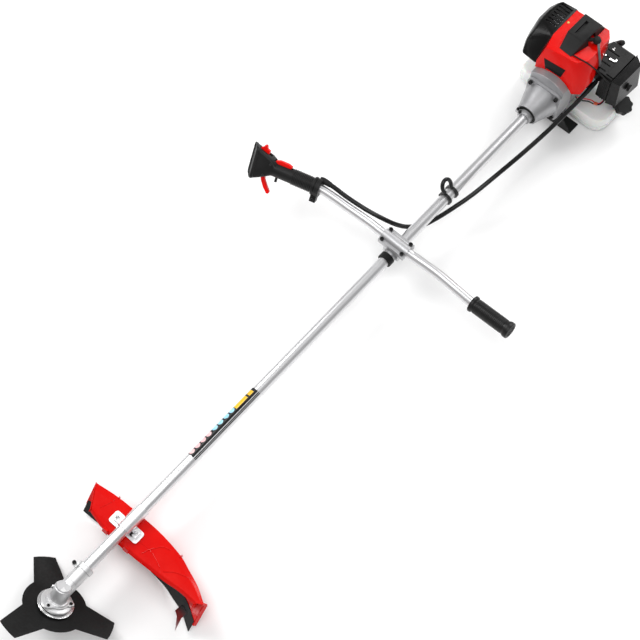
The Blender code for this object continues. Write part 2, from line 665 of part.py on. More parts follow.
# ---------------------------------------------------------------- throttle grip
THROTTLE_START = Vector((-0.2170, 1.0300, 0.0460))
THROTTLE_YAW = radians(180 + 15.6)
THROTTLE_ROLL = radians(37)
THROTTLE = empty("throttle_axes", THROTTLE_START, UPRIGHT, SHAFT)
THROTTLE.rotation_euler = (Matrix.Rotation(THROTTLE_YAW, 3, "Z")
                           @ Matrix.Rotation(THROTTLE_ROLL, 3, "X")).to_euler()
NECK_X = 0.1130
HEAD_X = 0.1690
TRIGGER_PIVOT = (0.1330, 0, -0.0210)
LOCKOUT_PIVOT = (0.1100, 0, 0.0190)


def head_points(inset, reach):
    """Corners of the throttle housing; inset walls make the hollow inside it."""
    half = 0.0150 - inset
    back, lead = HEAD_X - inset, HEAD_X - 0.0160 - inset
    points = []
    for y, far in ((-half, back), (half, lead)):
        points += [(NECK_X + inset, y, 0.0290 - inset), (NECK_X - 0.002 + inset, y, -0.0160 + inset),
                   (far, y, reach - inset), (far - 0.002, y, -reach + inset)]
    return points


def build_throttle_grip():
    grip = hull("throttle_grip", head_points(0, 0.0390), BLACK, THROTTLE)
    barrel = turned("grip_barrel", rod_profile(0.0172, 0.0100, NECK_X + 0.010), BLACK, THROTTLE,
                    (0, 0, 0), ACROSS, sides=24)
    join(grip, barrel)
    bore = tube("grip_bore", smooth_path(BAR_POINTS, 2), BAR_RADIUS + 0.0006, BLACK, sides=14)
    hollow = hull("grip_hollow", head_points(0.0030, 0.0390), BLACK, THROTTLE)
    trigger_slot = block("trigger_slot", (0.1120, -0.0050, -0.0600), (0.1520, 0.0050, -0.0100),
                         BLACK, THROTTLE)
    lockout_slot = block("lockout_slot", (0.0680, -0.0050, 0.0125), (0.1135, 0.0050, 0.0300),
                         BLACK, THROTTLE)
    switch_slot = block("switch_slot", (0.1230, -0.0045, 0.0200), (0.1600, 0.0045, 0.0500), BLACK,
                        THROTTLE)
    button_hole = drill("button_hole", (0.1000, 0, -0.0200), UPRIGHT, 0.0036, -0.010, 0.0065,
                        THROTTLE)
    collar = turned("grip_collar", rod_profile(0.0215, -0.0060, 0.0130), BLACK, THROTTLE,
                    (0, 0, 0), ACROSS, sides=24)
    lug = block("collar_lug", (-0.0030, -0.0080, -0.0360), (0.0110, 0.0080, -0.0100), BLACK,
                THROTTLE)
    join(grip, collar, lug)
    cut(grip, hollow, bore, trigger_slot, lockout_slot, switch_slot, button_hole)


def build_throttle_controls():
    pivot = TRIGGER_PIVOT
    outline = arc((0, 0), 0.0055, radians(20), radians(200), 5)
    outline += [(-0.0080, -0.0120), (-0.0165, -0.0250), (-0.0260, -0.0370), (-0.0250, -0.0420),
                (-0.0200, -0.0430), (-0.0090, -0.0310), (0.0010, -0.0150)]
    slab("throttle_trigger", outline, -0.0042, 0.0042, RED, THROTTLE, pivot, (pi / 2, 0, 0))
    lever = [(-0.0400, 0.0000), (-0.0380, -0.0030), (-0.0100, -0.0040), (0.0000, -0.0030),
             (0.0025, 0.0000), (0.0000, 0.0030), (-0.0100, 0.0062), (-0.0300, 0.0060),
             (-0.0390, 0.0030)]
    slab("lockout_lever", lever, -0.0042, 0.0042, RED, THROTTLE, LOCKOUT_PIVOT, (pi / 2, 0, 0))
    slide = [(0.1300, 0.0290), (0.1530, 0.0290), (0.1530, 0.0385), (0.1490, 0.0400),
             (0.1450, 0.0470), (0.1400, 0.0480), (0.1370, 0.0400), (0.1300, 0.0370)]
    slab("stop_switch", slide, -0.0038, 0.0038, RED, THROTTLE, (0, 0, 0), (pi / 2, 0, 0))
    turned("latch_button", rod_profile(0.0031, -0.0290, -0.0165), BLACK, THROTTLE,
           (0.1000, 0, 0), UPRIGHT, sides=12)


# ---------------------------------------------------------------- throttle cable
CABLE_ROUTE = [(-0.2090, 1.0480, 0.0545), (-0.1850, 1.0500, 0.0545), (-0.1500, 1.0520, 0.0510),
               (-0.1000, 1.0590, 0.0450), (-0.0600, 1.0720, 0.0330), (-0.0350, 1.0900, 0.0120),
               (-0.0180, 1.1150, -0.0120), (0.0000, 1.1450, -0.0220), (0.0120, 1.1800, -0.0230),
               (0.0230, 1.2200, -0.0200), (0.0380, 1.2730, -0.0080), (0.0520, 1.3400, 0.0100),
               (0.0630, 1.4150, 0.0200), (0.0700, 1.4900, 0.0240), (0.0740, 1.5450, 0.0300),
               (0.0780, 1.5950, 0.0400), (0.0790, 1.6300, 0.0430), (0.0790, 1.6550, 0.0450),
               (0.0790, 1.6740, 0.0480)]


def build_cable():
    curve = bpy.data.curves.new("throttle_cable", "CURVE")
    curve.dimensions = "3D"
    curve.bevel_depth = CABLE_RADIUS
    curve.bevel_resolution = 2
    curve.use_fill_caps = True
    path = smooth_path(CABLE_ROUTE, 4)
    spline = curve.splines.new("POLY")
    spline.points.add(len(path) - 1)
    for point, place in zip(spline.points, path):
        point.co = (*place, 1)
    curve.materials.append(RUBBER)
    made = bpy.data.objects.new("throttle_cable", curve)
    bpy.context.scene.collection.objects.link(made)
    made.parent = SHAFT


# ---------------------------------------------------------------- clutch end
SLEEVE_RADIUS = 0.0180
DAMPER_RADIUS = 0.0245
HUB_RADIUS = 0.0075          # clutch drum hub, in the housing's bearing


def build_clutch_housing():
    sleeve = turned("tube_sleeve", ring_profile(TUBE_RADIUS + GAP, SLEEVE_RADIUS, COLLAR_Y, 1.5570),
                    CAST, None, (0, 0, 0), ALONG_SHAFT)
    lug = block("sleeve_lug", (-0.0250, COLLAR_Y, 0.0030), (-0.0120, COLLAR_Y + 0.0080, 0.0120), CAST)
    join(sleeve, lug)
    cut(sleeve, drill("sleeve_bore", (0, 0, 0), ALONG_SHAFT, TUBE_RADIUS + GAP, 1.40, 1.70),
        block("sleeve_split", (-0.03, COLLAR_Y - 0.01, -0.0006), (-0.01, 1.5150, 0.0006), CAST))
    turned("rubber_damper", ring_profile(SLEEVE_RADIUS + GAP, DAMPER_RADIUS, 1.5185, 1.5540), RUBBER,
           None, (0, 0, 0), ALONG_SHAFT)
    outer = [(DAMPER_RADIUS + GAP, 1.5200), (0.0275, 1.5200), (0.0285, 1.5230), (0.0300, 1.5300),
             (0.0440, 1.5700), (0.0460, FLANGE_Y), (0.0415, FLANGE_Y), (0.0415, 1.5725),
             (HUB_RADIUS + WORKING_GAP, 1.5725), (HUB_RADIUS + WORKING_GAP, 1.5600),
             (DAMPER_RADIUS + GAP, 1.5600)]
    housing = turned("clutch_housing", outer, CAST, None, (0, 0, 0), ALONG_SHAFT, sides=36)
    flange = slab("clutch_flange", rounded_rectangle(0.0470, 0.0470, 0.012), 1.5775, FLANGE_Y, CAST,
                  None, (0, 0, 0), ALONG_SHAFT)
    opening = drill("clutch_opening", (0, 0, 0), ALONG_SHAFT, 0.0409, 1.5732, 1.60)
    join(housing, flange)
    cut(housing, opening, *[drill("clutch_hole_" + str(k), (x, 0, z), ALONG_SHAFT, 0.0030 + GAP,
                                  1.57, 1.60) for k, (x, z) in enumerate(clutch_screws())])


def clutch_screws():
    return [(x * BOLT_HALF_PITCH, z * BOLT_HALF_PITCH) for x in (-1, 1) for z in (-1, 1)]


def build_clutch():
    drum = [(DRIVE_RADIUS + GAP, 1.5520), (HUB_RADIUS, 1.5520), (HUB_RADIUS, 1.5735),
            (DRUM_RADIUS, 1.5735),
            (DRUM_RADIUS, 1.5980), (DRUM_RADIUS - 0.002, 1.5980), (DRUM_RADIUS - 0.002, 1.5760),
            (0, 1.5760), (0, 1.5670), (DRIVE_RADIUS + GAP, 1.5670)]
    turned("clutch_drum", drum, STEEL, None, (0, 0, 0), ALONG_SHAFT, sides=32)
    shoe = arc((0, 0), 0.0362, radians(12), radians(168), 10)
    shoe += arc((0, 0), 0.0362, radians(192), radians(348), 10)
    shoes = slab("clutch_shoes", shoe, 1.5785, 1.5965, STEEL, None, (0, 0, 0), ALONG_SHAFT)
    cut(shoes, drill("shoe_bore", (0, 0, 0), ALONG_SHAFT, 0.0063, 1.57, 1.61),
        *[block("shoe_gap_" + str(k), (low, 1.57, -0.0015), (low + 0.024, 1.61, 0.0015), STEEL)
          for k, low in enumerate((-0.040, 0.016))])


# ---------------------------------------------------------------- engine
CASING_HALF = 0.0470
CASING_TOP = 0.0760
CASING_FLOOR = 0.0500
FAN_CHAMBER = 0.0445


def casing_outline(half, top):
    """Square below and round above, drawn looking along the shaft from the front."""
    corner = 0.010
    side = atan2(sqrt(top * top - half * half), half)
    above = arc((0, 0), top, side, pi - side, 12)
    right = arc((half - corner, -CASING_FLOOR + corner), corner, -pi / 2, 0, 3)
    left = arc((-half + corner, -CASING_FLOOR + corner), corner, pi, 1.5 * pi, 3)
    return [(x, -z) for x, z in right + above + left]


def build_fan_housing():
    housing = slab("fan_housing", casing_outline(CASING_HALF, CASING_TOP), FLANGE_Y + GAP,
                   CRANKCASE_Y - GAP, CAST, None, (0, 0, 0), ALONG_SHAFT)
    cut(housing, drill("fan_front", (0, 0, 0), ALONG_SHAFT, 0.0405, 1.58, 1.61),
        drill("fan_chamber", (0, 0, 0), ALONG_SHAFT, FAN_CHAMBER, 1.6000, 1.64),
        *[drill("fan_hole_" + str(k), (x, 0, z), ALONG_SHAFT, 0.0030 + GAP, 1.57, 1.598)
          for k, (x, z) in enumerate(clutch_screws())])


def build_crank():
    shaft = turned("crankshaft", [(0, 1.5770), (0.0060, 1.5770), (0.0060, 1.6010), (0.0080, 1.6010),
                                  (0.0080, 1.6460), (0, 1.6460)], STEEL, None, (0, 0, 0),
                   ALONG_SHAFT, sides=20)
    rear = turned("crank_rear", [(0, 1.6840), (0.0080, 1.6840), (0.0080, 1.7000), (0.0060, 1.7000),
                                 (0.0060, 1.7180), (0, 1.7180)], STEEL, None, (0, 0, 0),
                  ALONG_SHAFT, sides=20)
    webs = [turned("crank_web_" + str(k), rod_profile(0.0260, y, y + 0.0080), STEEL, None,
                   (0, 0, 0), ALONG_SHAFT, sides=24)
            for k, y in enumerate((1.6440, 1.6780))]
    pin = turned("crank_pin", rod_profile(0.0060, 1.6460, 1.6840), STEEL, None, (0, 0, -0.0160),
                 ALONG_SHAFT, sides=16)
    join(shaft, *webs, rear, pin)
    teeth = slab("flywheel", toothed_ring(0.0430, 0.0080, 18), 1.6040, 1.6120, CAST, None,
                 (0, 0, 0), ALONG_SHAFT)
    disc = turned("flywheel_disc", rod_profile(0.0390, 1.6080, 1.6180), CAST, None, (0, 0, 0),
                  ALONG_SHAFT, sides=32)
    join(teeth, disc)
    cut(teeth, drill("flywheel_bore", (0, 0, 0), ALONG_SHAFT, 0.0083, 1.60, 1.63))


def build_crankcase():
    case = block("crankcase", (-0.0440, CRANKCASE_Y, -0.0460), (0.0440, STARTER_Y - GAP, 0.0400),
                 CAST, None, 0.006)
    chamber = drill("crank_chamber", (0, 0, 0), ALONG_SHAFT, 0.0290, 1.6400, 1.6900)
    bores = drill("crank_bores", (0, 0, 0), ALONG_SHAFT, 0.0080 + WORKING_GAP, 1.62, 1.71)
    mouth = drill("cylinder_mouth", (0, CYLINDER_Y, 0), UPRIGHT, 0.0205, 0.0, 0.060)
    cut(case, chamber, bores, mouth)


def build_cylinder():
    bore, core, fin = 0.0200, 0.0250, 0.0350
    low, high = 0.0400 + GAP, 0.1040
    profile = [(bore, low), (core + 0.006, low), (core + 0.006, low + 0.004), (core, low + 0.004)]
    for k in range(6):
        z = low + 0.0110 + k * 0.0082
        profile += [(core, z), (fin, z), (fin, z + 0.0024), (core, z + 0.0024)]
    profile += [(core, high), (0.0076, high), (0.0076, high - 0.008), (bore, high - 0.010)]
    middle = CYLINDER_Y
    turned("cylinder", profile, CAST, None, (0, middle, 0), UPRIGHT, sides=20)
    turned("piston", [(0, 0.0880), (0.0196, 0.0880), (0.0196, 0.0580), (0.0170, 0.0580),
                      (0.0170, 0.0840), (0, 0.0840)], CAST, None, (0, middle, 0), UPRIGHT, sides=24)
    turned("spark_plug", [(0, 0.0975), (0.0070, 0.0975), (0.0070, high + GAP), (0.0095, high + GAP),
                          (0.0095, 0.1110), (0.0055, 0.1120), (0.0050, 0.1300), (0.0025, 0.1310),
                          (0.0025, 0.1360), (0, 0.1360)], PORCELAIN, None, (0, middle, 0), UPRIGHT,
           sides=16)


COVER_OUTER = [(-0.050, 1.603, 0.056), (0.058, 1.603, 0.052), (0.075, 1.613, 0.056),
               (0.078, 1.650, 0.071), (0.071, 1.650, 0.105), (0.055, 1.650, 0.131),
               (-0.050, 1.603, 0.084), (-0.037, 1.608, 0.107), (0.035, 1.615, 0.109),
               (-0.040, 1.617, 0.130), (0.038, 1.627, 0.131), (-0.050, 1.656, 0.131),
               (-0.050, 1.745, 0.131), (0.054, 1.733, 0.131), (0.040, 1.750, 0.131),
               (0.056, 1.736, 0.060), (-0.052, 1.748, 0.060), (-0.052, 1.612, 0.052),
               (0.062, 1.700, 0.060), (0.056, 1.700, 0.131), (0.040, 1.752, 0.060)]
COVER_WALL = 0.0022


def build_cylinder_cover():
    centre = Vector((0.005, 1.677, 0.090))
    cover = hull("cylinder_cover", COVER_OUTER, RED)
    inner = []
    for point in COVER_OUTER:
        x, y, z = Vector(point) - centre
        inner.append((centre.x + x * (1 - COVER_WALL / 0.055), centre.y + y * (1 - COVER_WALL / 0.070),
                      centre.z + z * (1 - COVER_WALL / 0.040)))
    below = [(x, y, 0.030) for x, y, z in inner if z < 0.07]
    hollow = hull("cover_hollow", inner + below, RED)
    arch = drill("cover_arch", (0, 0, 0), ALONG_SHAFT, CASING_TOP + 0.0008, 1.59, 1.6330)
    plug_way = block("cover_plug_way", (-0.018, 1.648, 0.120), (0.019, 1.734, 0.140), RED)
    intake_way = block("cover_intake_way", (0.0385, 1.6670, 0.020), (0.100, 1.7800, 0.0890), RED)
    cut(cover, hollow, arch, plug_way, intake_way)
    hump = [(-0.016, 1.634, 0.1315), (0.018, 1.632, 0.1315), (-0.023, 1.671, 0.150),
            (0.023, 1.671, 0.150), (-0.023, 1.737, 0.150), (0.023, 1.737, 0.150),
            (-0.029, 1.748, 0.1315), (0.029, 1.748, 0.1315), (-0.030, 1.684, 0.1315),
            (0.030, 1.684, 0.1315)]
    plug_cover = hull("plug_cover", hump, BLACK)
    inside = [(x * 0.86, 1.690 + (y - 1.690) * 0.92, z - 0.0022 - 0.004 * (z < 0.14))
              for x, y, z in hump]
    side_gate = block("plug_cover_gate", (0.010, 1.684, 0.120), (0.040, 1.712, 0.1478), BLACK)
    cut(plug_cover, hull("plug_cover_hollow", inside, BLACK), side_gate)
    boot = turned("plug_boot", [(0, 0.1135), (0.0082, 0.1135), (0.0082, 0.1345), (0.0060, 0.1388),
                                (0, 0.1392)], RUBBER, None, (0, CYLINDER_Y, 0), UPRIGHT, sides=16)
    elbow = tube("boot_elbow", [Vector((0.003, 1.6680, 0.1342)), Vector((0.014, 1.6820, 0.1365)),
                                Vector((0.024, 1.6930, 0.1400)), Vector((0.036, 1.7000, 0.1430))],
                 0.0048, RUBBER, sides=10)
    ball = turned("boot_ball", [(0, -0.0105), (0.0070, -0.0080), (0.0105, 0), (0.0070, 0.0080),
                                (0, 0.0105)], RUBBER, None, (0.0390, 1.7000, 0.1435), UPRIGHT,
                  sides=14)
    join(boot, elbow, ball)
    cut(boot, drill("boot_socket", (0, CYLINDER_Y, 0), UPRIGHT, 0.0060, 0.1100, 0.1368))


MUFFLER_COVER = [(-0.0550, 1.7660, 0.108), (-0.1020, 1.7600, 0.108), (-0.1060, 1.6820, 0.108),
                 (-0.0550, 1.6690, 0.108), (-0.0550, 1.6090, 0.062), (-0.0970, 1.6130, 0.060),
                 (-0.1110, 1.6440, 0.060), (-0.1260, 1.7080, 0.060), (-0.1230, 1.7450, 0.060),
                 (-0.1120, 1.6480, 0.022), (-0.1260, 1.7080, 0.020), (-0.1180, 1.7600, 0.020),
                 (-0.0550, 1.7660, 0.020), (-0.0550, 1.6400, 0.022)]


def build_muffler():
    box = block("muffler", (-0.1030, 1.6760, 0.034), (-0.0620, 1.7520, 0.088), STEEL, None, 0.004)
    outlet = drill("muffler_outlet", (-0.0850, 0, 0.050), ALONG_SHAFT, 0.0060, 1.735, 1.76)
    inlet = drill("muffler_inlet", (0, 1.6950, 0.070), ACROSS, 0.0090, -0.075, -0.055)
    hollow = block("muffler_hollow", (-0.1000, 1.6790, 0.037), (-0.0650, 1.7490, 0.085), STEEL)
    cut(box, hollow, outlet, inlet)
    cover = hull("muffler_cover", MUFFLER_COVER, BLACK)
    centre = Vector((-0.085, 1.695, 0.064))
    inner = []
    for point in MUFFLER_COVER:
        x, y, z = Vector(point) - centre
        inner.append((centre.x + x * 0.93 + (0.02 if x > 0.02 else 0), centre.y + y * 0.96,
                      centre.z + z * 0.94))
    cut(cover, hull("muffler_cover_hollow", inner, BLACK))
    for k in range(7):
        y = 1.692 + k * 0.0095
        cut(cover, block("cover_slot_" + str(k), (-0.0960, y, 0.095), (-0.0640, y + 0.0042, 0.120),
                         BLACK))
    cut(cover, block("cover_outlet", (-0.0950, 1.740, 0.040), (-0.0750, 1.775, 0.060), BLACK))


def build_intake():
    body = block("carburettor", (0.0400, 1.6800, 0.0420), (0.0900, 1.7160, 0.0780), CAST, None,
                 0.003)
    venturi = drill("carb_bore", (0, 1.6980, 0.0600), ACROSS, 0.0085, 0.030, 0.100)
    cut(body, venturi)
    case = block("air_filter_case", (0.0500, 1.6690, 0.0020), (0.1180, 1.7670, 0.0865), BLACK, None,
                 0.004)
    cut(case, block("filter_room", (0.0930, 1.6730, 0.0050), (0.1200, 1.7630, 0.0835), BLACK),
        block("carburettor_room", (0.0400, 1.6730, -0.0100), (0.0905, 1.7630, 0.0835), BLACK),
        block("cable_way", (0.0710, 1.6600, -0.0100), (0.0870, 1.6800, 0.0580), BLACK),
        drill("case_inlet", (0, 1.6980, 0.0600), ACROSS, 0.0085, 0.080, 0.100))
    cover = hull("air_filter_cover", [(0.1183, 1.6690, 0.000), (0.1183, 1.7670, 0.000),
                                      (0.1183, 1.6690, 0.0865), (0.1183, 1.7670, 0.0865),
                                      (0.1420, 1.6750, 0.002), (0.1470, 1.7580, 0.002),
                                      (0.1370, 1.6770, 0.080), (0.1390, 1.7560, 0.080)], BLACK)
    cut(cover, hull("cover_room", [(0.1150, 1.6715, 0.003), (0.1150, 1.7645, 0.003),
                                   (0.1150, 1.6715, 0.0835), (0.1150, 1.7645, 0.0835),
                                   (0.1395, 1.6775, 0.005), (0.1445, 1.7555, 0.005),
                                   (0.1345, 1.6795, 0.077), (0.1365, 1.7535, 0.077)], BLACK))
    knob_hole = drill("knob_hole", (0, 1.7120, 0.0430), ACROSS, 0.0030, 0.130, 0.150)
    cut(cover, knob_hole)
    turned("filter_knob", [(0, 0.1200), (0.0026, 0.1200), (0.0026, 0.1435), (0.0090, 0.1435),
                           (0.0090, 0.1500), (0, 0.1500)], BLACK, None, (0, 1.7120, 0.0430),
           ACROSS, sides=12)
    lever = [(-0.003, -0.003), (0.003, -0.003), (0.003, 0.018), (-0.003, 0.018)]
    slab("choke_lever", lever, 0, 0.0020, BLACK, None, (0.0620, 1.6850, 0.0865 + GAP), UPRIGHT)
    slab("carb_throttle_lever", [(-0.004, -0.004), (0.004, -0.004), (0.004, 0.004), (-0.003, 0.018),
                                 (-0.006, 0.018)], 0, 0.0018, STEEL, None,
         (0.0740, 1.6980, 0.0780 + GAP), UPRIGHT)


def build_starter():
    profile = [(0, 1.7560), (0.0400, 1.7560), (0.0560, 1.7480), (0.0580, 1.7400),
               (0.0580, STARTER_Y), (0.0550, STARTER_Y), (0.0550, 1.7390), (0.0530, 1.7460),
               (0.0390, 1.7530), (0, 1.7530)]
    housing = turned("starter_housing", profile, BLACK, None, (0, 0, 0), ALONG_SHAFT, sides=36)
    boss = block("starter_boss", (0.0300, 1.7300, 0.0300), (0.0500, 1.7620, 0.0500), BLACK)
    join(housing, boss)
    cut(housing, drill("rope_way", (0.0400, 0, 0.0400), ALONG_SHAFT, 0.0022, 1.72, 1.77),
        turned("starter_room", rod_profile(0.0520, 1.70, 1.7400), BLACK, None, (0, 0, 0),
               ALONG_SHAFT))
    handle = turned("starter_handle", [(0, 1.7623), (0.0060, 1.7623), (0.0070, 1.7760),
                                       (0, 1.7760)], BLACK, None, (0.0400, 0, 0.0400),
                    ALONG_SHAFT, sides=16)
    bar = turned("handle_bar", [(0, -0.0300), (0.0060, -0.0280), (0.0080, -0.0200),
                                (0.0080, 0.0200), (0.0060, 0.0280), (0, 0.0300)], BLACK, None,
                 (0.0540, 1.7800, 0.0560), along_turn((0.56, 0, 0.83)), sides=16)
    rope = turned("handle_rope", rod_profile(0.0016, 1.7420, 1.7700), BLACK, None,
                  (0.0400, 0, 0.0400), ALONG_SHAFT, sides=10)
    join(handle, bar, rope)


# ---------------------------------------------------------------- fuel tank and stand
CAP_AT = Vector((0.1400, 1.7180, -0.0470))
CAP_AXIS = Vector((0.36, 0.05, 0.93)).normalized()


def build_tank():
    low, high = FLOOR + 0.0040, -0.0480
    body = [(-0.112, 1.660), (-0.104, 1.645), (-0.090, 1.642), (0.110, 1.642), (0.126, 1.648),
            (0.138, 1.665), (0.140, 1.740), (0.130, 1.758), (0.110, 1.764), (-0.090, 1.764),
            (-0.106, 1.757), (-0.112, 1.740)]
    tank = slab("fuel_tank", body, low, high, TANK_WHITE)
    soften(tank, 0.010, 2)
    dent = block("tank_saddle", (-0.0560, 1.60, -0.0590), (0.0560, 1.80, 0.0), TANK_WHITE)
    neck = turned("tank_neck", rod_profile(0.0150, -0.030, -GAP), TANK_WHITE, None, CAP_AT,
                  along_turn(CAP_AXIS), sides=20)
    inner = [(x * 0.975, 1.703 + (y - 1.703) * 0.955) for x, y in body]
    hollow = slab("tank_hollow", inner, low + 0.003, -0.0620, TANK_WHITE)
    way = turned("tank_way", rod_profile(0.0120, -0.040, 0.010), TANK_WHITE, None, CAP_AT,
                 along_turn(CAP_AXIS), sides=20)
    cut(tank, dent)
    join(tank, neck)
    cut(tank, hollow, way)
    lobes = []
    for i in range(48):
        angle = 2 * pi * i / 48
        reach = 0.0232 + 0.0018 * cos(8 * angle)
        lobes.append((reach * cos(angle), reach * sin(angle)))
    cap = slab("fuel_cap", lobes, 0.0, 0.0150, BLACK, None, CAP_AT, along_turn(CAP_AXIS))
    plug = turned("cap_plug", rod_profile(0.0115, -0.0060, 0.0050), BLACK, None, CAP_AT,
                  along_turn(CAP_AXIS), sides=24)
    join(cap, plug)


def build_stand():
    top = -CASING_FLOOR - GAP
    front = [(-0.0450, top), (0.0450, top), (0.0810, FLOOR + 0.0035), (0.0810, FLOOR),
             (-0.0600, FLOOR), (-0.0600, FLOOR + 0.0035)]
    plate = slab("tank_stand", [(x, -z) for x, z in front], 1.6050, 1.6080, BLACK, None, (0, 0, 0),
                 ALONG_SHAFT)
    foot = block("stand_foot", (-0.0600, 1.6050, FLOOR), (0.0810, 1.6400, FLOOR + 0.0035), BLACK)
    ledge = block("stand_ledge", (-0.0450, 1.6050, top - 0.0030), (0.0450, 1.6280, top), BLACK)
    rib = block("stand_rib", (-0.0015, 1.6060, FLOOR + 0.0010), (0.0015, 1.6280, top - 0.0010), BLACK)
    join(plate, foot, ledge, rib)


# ---------------------------------------------------------------- build
def build_all():
    build_gear_case()
    build_output_shaft()
    build_bearing_cover()
    build_blade_stack()
    build_shaft()
    build_guard()
    build_knife()
    build_hanger()
    build_handlebar()
    build_clamp()
    build_plain_grip()
    build_throttle_grip()
    build_throttle_controls()
    build_cable()
    build_clutch_housing()
    build_clutch()
    build_fan_housing()
    build_crank()
    build_crankcase()
    build_cylinder()
    build_cylinder_cover()
    build_muffler()
    build_intake()
    build_starter()
    build_tank()
    build_stand()


build_all()
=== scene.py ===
# %% [markdown]
# # A petrol brush cutter, piece by piece
# This lesson dresses the measured parts of a brush cutter and adds the small pieces that make it look
# real: screws, ribs, cable, wires and labels without words. The shaft lies along Y, the blade is at -Y
# and the engine at +Y. We work in metres, and every mesh holds its points in world space, so that a
# pattern measured in metres has the same size on every piece.

import json
from math import cos, degrees, pi, radians, sin

import bmesh
import bpy
from mathutils import Matrix, Vector

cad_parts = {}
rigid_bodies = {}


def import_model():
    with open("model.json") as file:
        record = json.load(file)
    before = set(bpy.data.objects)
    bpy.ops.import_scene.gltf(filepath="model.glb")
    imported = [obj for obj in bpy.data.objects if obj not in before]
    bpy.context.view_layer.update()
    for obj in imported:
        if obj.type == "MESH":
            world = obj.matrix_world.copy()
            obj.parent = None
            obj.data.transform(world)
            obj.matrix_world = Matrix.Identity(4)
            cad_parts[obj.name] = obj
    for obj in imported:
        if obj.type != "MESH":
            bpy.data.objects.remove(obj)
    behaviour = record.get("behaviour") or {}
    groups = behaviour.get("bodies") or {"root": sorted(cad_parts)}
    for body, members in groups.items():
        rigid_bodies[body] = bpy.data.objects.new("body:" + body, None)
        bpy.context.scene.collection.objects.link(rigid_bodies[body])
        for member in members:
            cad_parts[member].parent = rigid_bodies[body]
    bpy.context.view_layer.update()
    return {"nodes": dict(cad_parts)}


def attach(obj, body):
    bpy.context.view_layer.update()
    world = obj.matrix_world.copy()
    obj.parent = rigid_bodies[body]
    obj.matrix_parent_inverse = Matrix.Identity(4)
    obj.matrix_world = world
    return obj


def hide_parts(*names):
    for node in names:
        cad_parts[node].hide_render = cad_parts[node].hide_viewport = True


for leftover in list(bpy.data.objects):
    bpy.data.objects.remove(leftover, do_unlink=True)
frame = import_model()

# %% [markdown]
# ## Three places to measure from
# A maker measures the head from the blade's axis, the throttle from its grip's axis and all the rest
# from the shaft. Each of these is a matrix here, and a helper turns local points into world points.

# %% Shaft, head and throttle axes
SHAFT = Matrix.Translation((0, -1.620, 0.100))
HEAD = SHAFT @ Matrix.Rotation(radians(-36.9), 4, "X")
THROTTLE = (SHAFT @ Matrix.Translation((-0.2170, 1.0300, 0.0460))
            @ Matrix.Rotation(radians(195.6), 4, "Z") @ Matrix.Rotation(radians(37), 4, "X"))
ALONG_SHAFT = Matrix.Rotation(-pi / 2, 4, "X")
ACROSS = Matrix.Rotation(pi / 2, 4, "Y")


def aim(place, direction):
    """A matrix at a place whose Z points along a direction."""
    turn = Vector(direction).to_track_quat("Z", "Y").to_matrix().to_4x4()
    return Matrix.Translation(place) @ turn


# %% [markdown]
# ## Patterns that several finishes share
# Wear, grain and brushing turn up on many materials, so each is a node group with named inputs. A
# group gives out only masks and heights; the shader stays in the material, where it is easy to see.

# %% A small kit for node groups
def new_group(name, inputs, outputs):
    group = bpy.data.node_groups.new(name, "ShaderNodeTree")
    for label, value in inputs.items():
        kind = "NodeSocketVector" if hasattr(value, "__len__") else "NodeSocketFloat"
        socket = group.interface.new_socket(label, in_out="INPUT", socket_type=kind)
        socket.default_value = value
    for label in outputs:
        group.interface.new_socket(label, in_out="OUTPUT", socket_type="NodeSocketFloat")
    return group


def node(tree, kind, links=(), **settings):
    """Adds a node, sets its properties and links (input name, output socket) pairs."""
    made = tree.nodes.new(kind)
    for key, value in settings.items():
        if key in made.inputs:
            made.inputs[key].default_value = value
        else:
            setattr(made, key, value)
    for label, source in links:
        tree.links.new(source, made.inputs[label])
    return made


def remap(tree, source, low, high, to_low=0.0, to_high=1.0):
    made = node(tree, "ShaderNodeMapRange", [("Value", source)])
    for label, value in (("From Min", low), ("From Max", high), ("To Min", to_low), ("To Max", to_high)):
        made.inputs[label].default_value = value
    return made.outputs["Result"]


# %% Wear: rubbed edges and faint smudges
def build_wear_group():
    group = new_group("Wear", {"Edge Start": 0.53, "Edge End": 0.60, "Smudge Scale": 14.0},
                      ["Edge", "Smudge"])
    start = group.nodes.new("NodeGroupInput")
    end = group.nodes.new("NodeGroupOutput")
    place = node(group, "ShaderNodeTexCoord").outputs["Object"]
    bend = node(group, "ShaderNodeNewGeometry").outputs["Pointiness"]
    edge = node(group, "ShaderNodeMapRange", [("Value", bend), ("From Min", start.outputs["Edge Start"]),
                                              ("From Max", start.outputs["Edge End"])])
    breaks = node(group, "ShaderNodeTexNoise", [("Vector", place)], Scale=220.0, Detail=4.0)
    broken = node(group, "ShaderNodeMath", [(0, edge.outputs["Result"]), (1, breaks.outputs["Fac"])],
                  operation="MULTIPLY")
    cloud = node(group, "ShaderNodeTexNoise", [("Vector", place), ("Scale", start.outputs["Smudge Scale"])],
                 Detail=5.0, Roughness=0.6)
    smudge = remap(group, cloud.outputs["Fac"], 0.42, 0.68)
    group.links.new(broken.outputs["Value"], end.inputs["Edge"])
    group.links.new(smudge, end.inputs["Smudge"])
    return group


